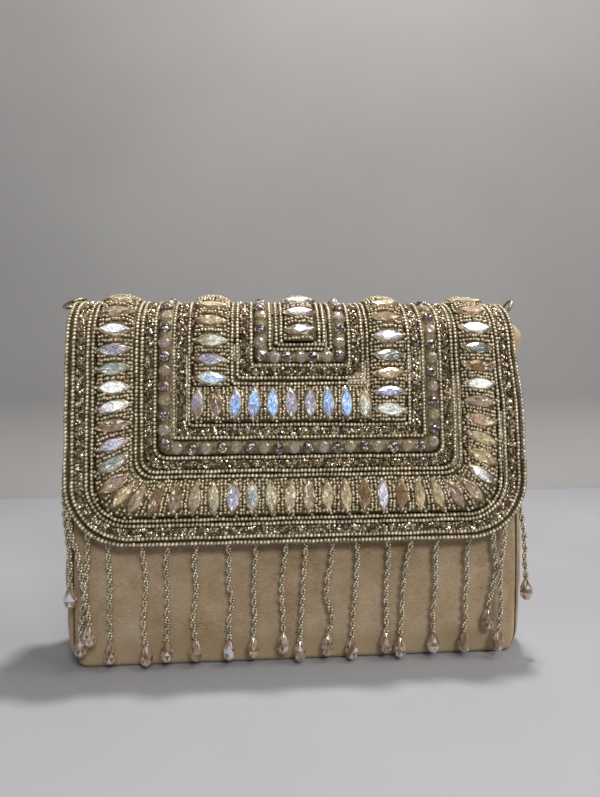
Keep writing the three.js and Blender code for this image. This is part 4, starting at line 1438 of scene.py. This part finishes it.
# Gold rings, each in a velvet loop at the gusset's shoulder.
RINGS = [
    {"name": "left", "wire": Vector((1, 0, 0.404)).normalized(), "reach": Vector((0, -1, 0)),
     "hole": Vector((1, 0, 0))},
    {"name": "right", "wire": Vector((0, 1, 0)), "reach": Vector((0.5, 0, 0.866)).normalized(),
     "hole": Vector((0, 1, 0))},
]


def ring_eye(ring):
    """Where the ring hangs: the place of its joint."""
    joint = next(joint for joint in frame["joints"] if joint["child"] == f"{ring['name']}_ring")
    return Vector(joint["pos_m"])


def gold_ring(ring):
    eye = ring_eye(ring)
    radius = (RING_DIAMETER - RING_WIRE) / 2 * MM
    centre = eye + ring["reach"] * radius
    axis = ring["wire"].cross(ring["reach"])

    def place(s, t):
        a, b = 2 * math.pi * s, 2 * math.pi * t
        outward = ring["wire"] * math.sin(a) - ring["reach"] * math.cos(a)
        r = RING_WIRE / 2 * MM
        return centre + outward * (radius + r * math.cos(b)) + axis * r * math.sin(b)

    name = f"ring_{ring['name']}"
    piece = from_bmesh(f"gold_{name}", skin(40, 12, place, wrap=True), GOLD)
    rides(piece, "gold_metal", name, body=f"{ring['name']}_ring")


def velvet_loop(name, eye, hole):
    """A soft eye round a ring's wire, on a stem that is sewn down to the gusset."""
    up = Vector((0, 0, 1))
    across = up.cross(hole)
    radius = (TAB_HOLE + TAB_WALL) / 2
    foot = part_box(name)[0][2] / MM + TAB_SINK

    def section(b, half_wide, half_thick):
        wide = math.copysign(abs(math.cos(b)) ** 0.7, math.cos(b)) * half_wide
        thick = math.copysign(abs(math.sin(b)) ** 0.7, math.sin(b)) * half_thick
        return wide, hole * thick

    def eye_place(s, t):
        a = 2 * math.pi * s
        wide, thick = section(2 * math.pi * t, TAB_WALL / 2, TAB_THICKNESS / 2)
        return (eye + (across * math.sin(a) + up * math.cos(a)) * (radius + wide) + thick) * MM

    def stem_place(s, t):
        wide, thick = section(2 * math.pi * t, TAB_STEM_WIDTH / 2, TAB_THICKNESS / 2)
        flare = 1 + 0.15 * s**2
        middle = Vector((eye.x, eye.y, lerp(eye.z - radius, foot, s)))
        return (middle + (across * wide + thick) * flare) * MM

    bm = skin(28, 12, eye_place, wrap=True)
    stem = bpy.data.meshes.new("stem")
    stem_bm = skin(5, 12, stem_place, wrap=True)
    stem_bm.to_mesh(stem)
    stem_bm.free()
    bm.from_mesh(stem)
    bpy.data.meshes.remove(stem)
    rides(from_bmesh(name.replace("ring_tab", "velvet_loop"), bm, VELVET), "velvet", name)


for ring in RINGS:
    gold_ring(ring)
for ring in RINGS:
    velvet_loop(f"ring_tab_{ring['name']}", ring_eye(ring) / MM, ring["hole"])

# The snap lies hidden under the flap as its solid.
frame["nodes"]["magnetic_snap"].data.materials.clear()
frame["nodes"]["magnetic_snap"].data.materials.append(GOLD)


# Floor, wall and light
WALL_DISTANCE = 560
ROOM = 4000
COVE_RADIUS = 120
COVE_ROWS = 14


def room():
    """Floor, and a wall that rises from it in a cove."""
    floor_finish = plaster_finish("pale_floor", (0.305, 0.307, 0.325), (0.350, 0.352, 0.372), 0.5)
    wall_finish = plaster_finish("grey_wall", (0.262, 0.257, 0.254), (0.298, 0.293, 0.289), 0.8)

    def ground(s, t):
        return Vector((lerp(-ROOM, ROOM, s), lerp(-ROOM, WALL_DISTANCE - COVE_RADIUS, t), 0)) * MM

    def backdrop(s, t):
        a = min(t * (COVE_ROWS + 1) / COVE_ROWS, 1) * math.pi / 2
        y = WALL_DISTANCE - COVE_RADIUS * (1 - math.sin(a))
        z = ROOM if t == 1 else COVE_RADIUS * (1 - math.cos(a))
        return Vector((lerp(-ROOM, ROOM, s), y, z)) * MM

    floor = from_bmesh("floor", skin(1, 1, ground), floor_finish)
    wall = from_bmesh("backdrop", skin(1, COVE_ROWS + 1, backdrop), wall_finish)


LIGHTS = [
    {"name": "overhead", "place": (150, 185, 1500), "aim": (0, -20, 80), "size": (110, 80),
     "power": 18, "colour": (1.0, 0.98, 0.95)},
    {"name": "window", "place": (350, -1550, 1230), "aim": (0, 0, 90), "size": (600, 400),
     "power": 16.5, "colour": (1.0, 0.98, 0.96)},
    {"name": "right_spots", "place": (900, -350, 1250), "aim": (0, 0, 60), "size": (900, 700),
     "power": 9.5, "colour": (1.0, 0.97, 0.93)},
    {"name": "glint", "place": (-60, -700, 1500), "aim": (0, 0, 110), "size": (90, 90),
     "power": 2.2, "colour": (1.0, 0.98, 0.95)},
]


def area_light(name, place, aim, size, power, colour):
    """A rectangular light, in millimetres and watts."""
    data = bpy.data.lights.new(name, "AREA")
    data.shape = "RECTANGLE"
    data.size, data.size_y = size[0] * MM, size[1] * MM
    data.energy = power
    data.color = colour
    light = bpy.data.objects.new(name, data)
    bpy.context.scene.collection.objects.link(light)
    light.location = Vector(place) * MM
    light.rotation_euler = (Vector(aim) - Vector(place)).to_track_quat("-Z", "Y").to_euler()


room()
for light in LIGHTS:
    area_light(**light)
world = bpy.data.worlds.new("studio")
world.use_nodes = True
world.node_tree.nodes["Background"].inputs["Color"].default_value = (0.82, 0.85, 0.90, 1)
world.node_tree.nodes["Background"].inputs["Strength"].default_value = 0.15
bpy.context.scene.world = world
bpy.context.scene.view_settings.view_transform = "Standard"
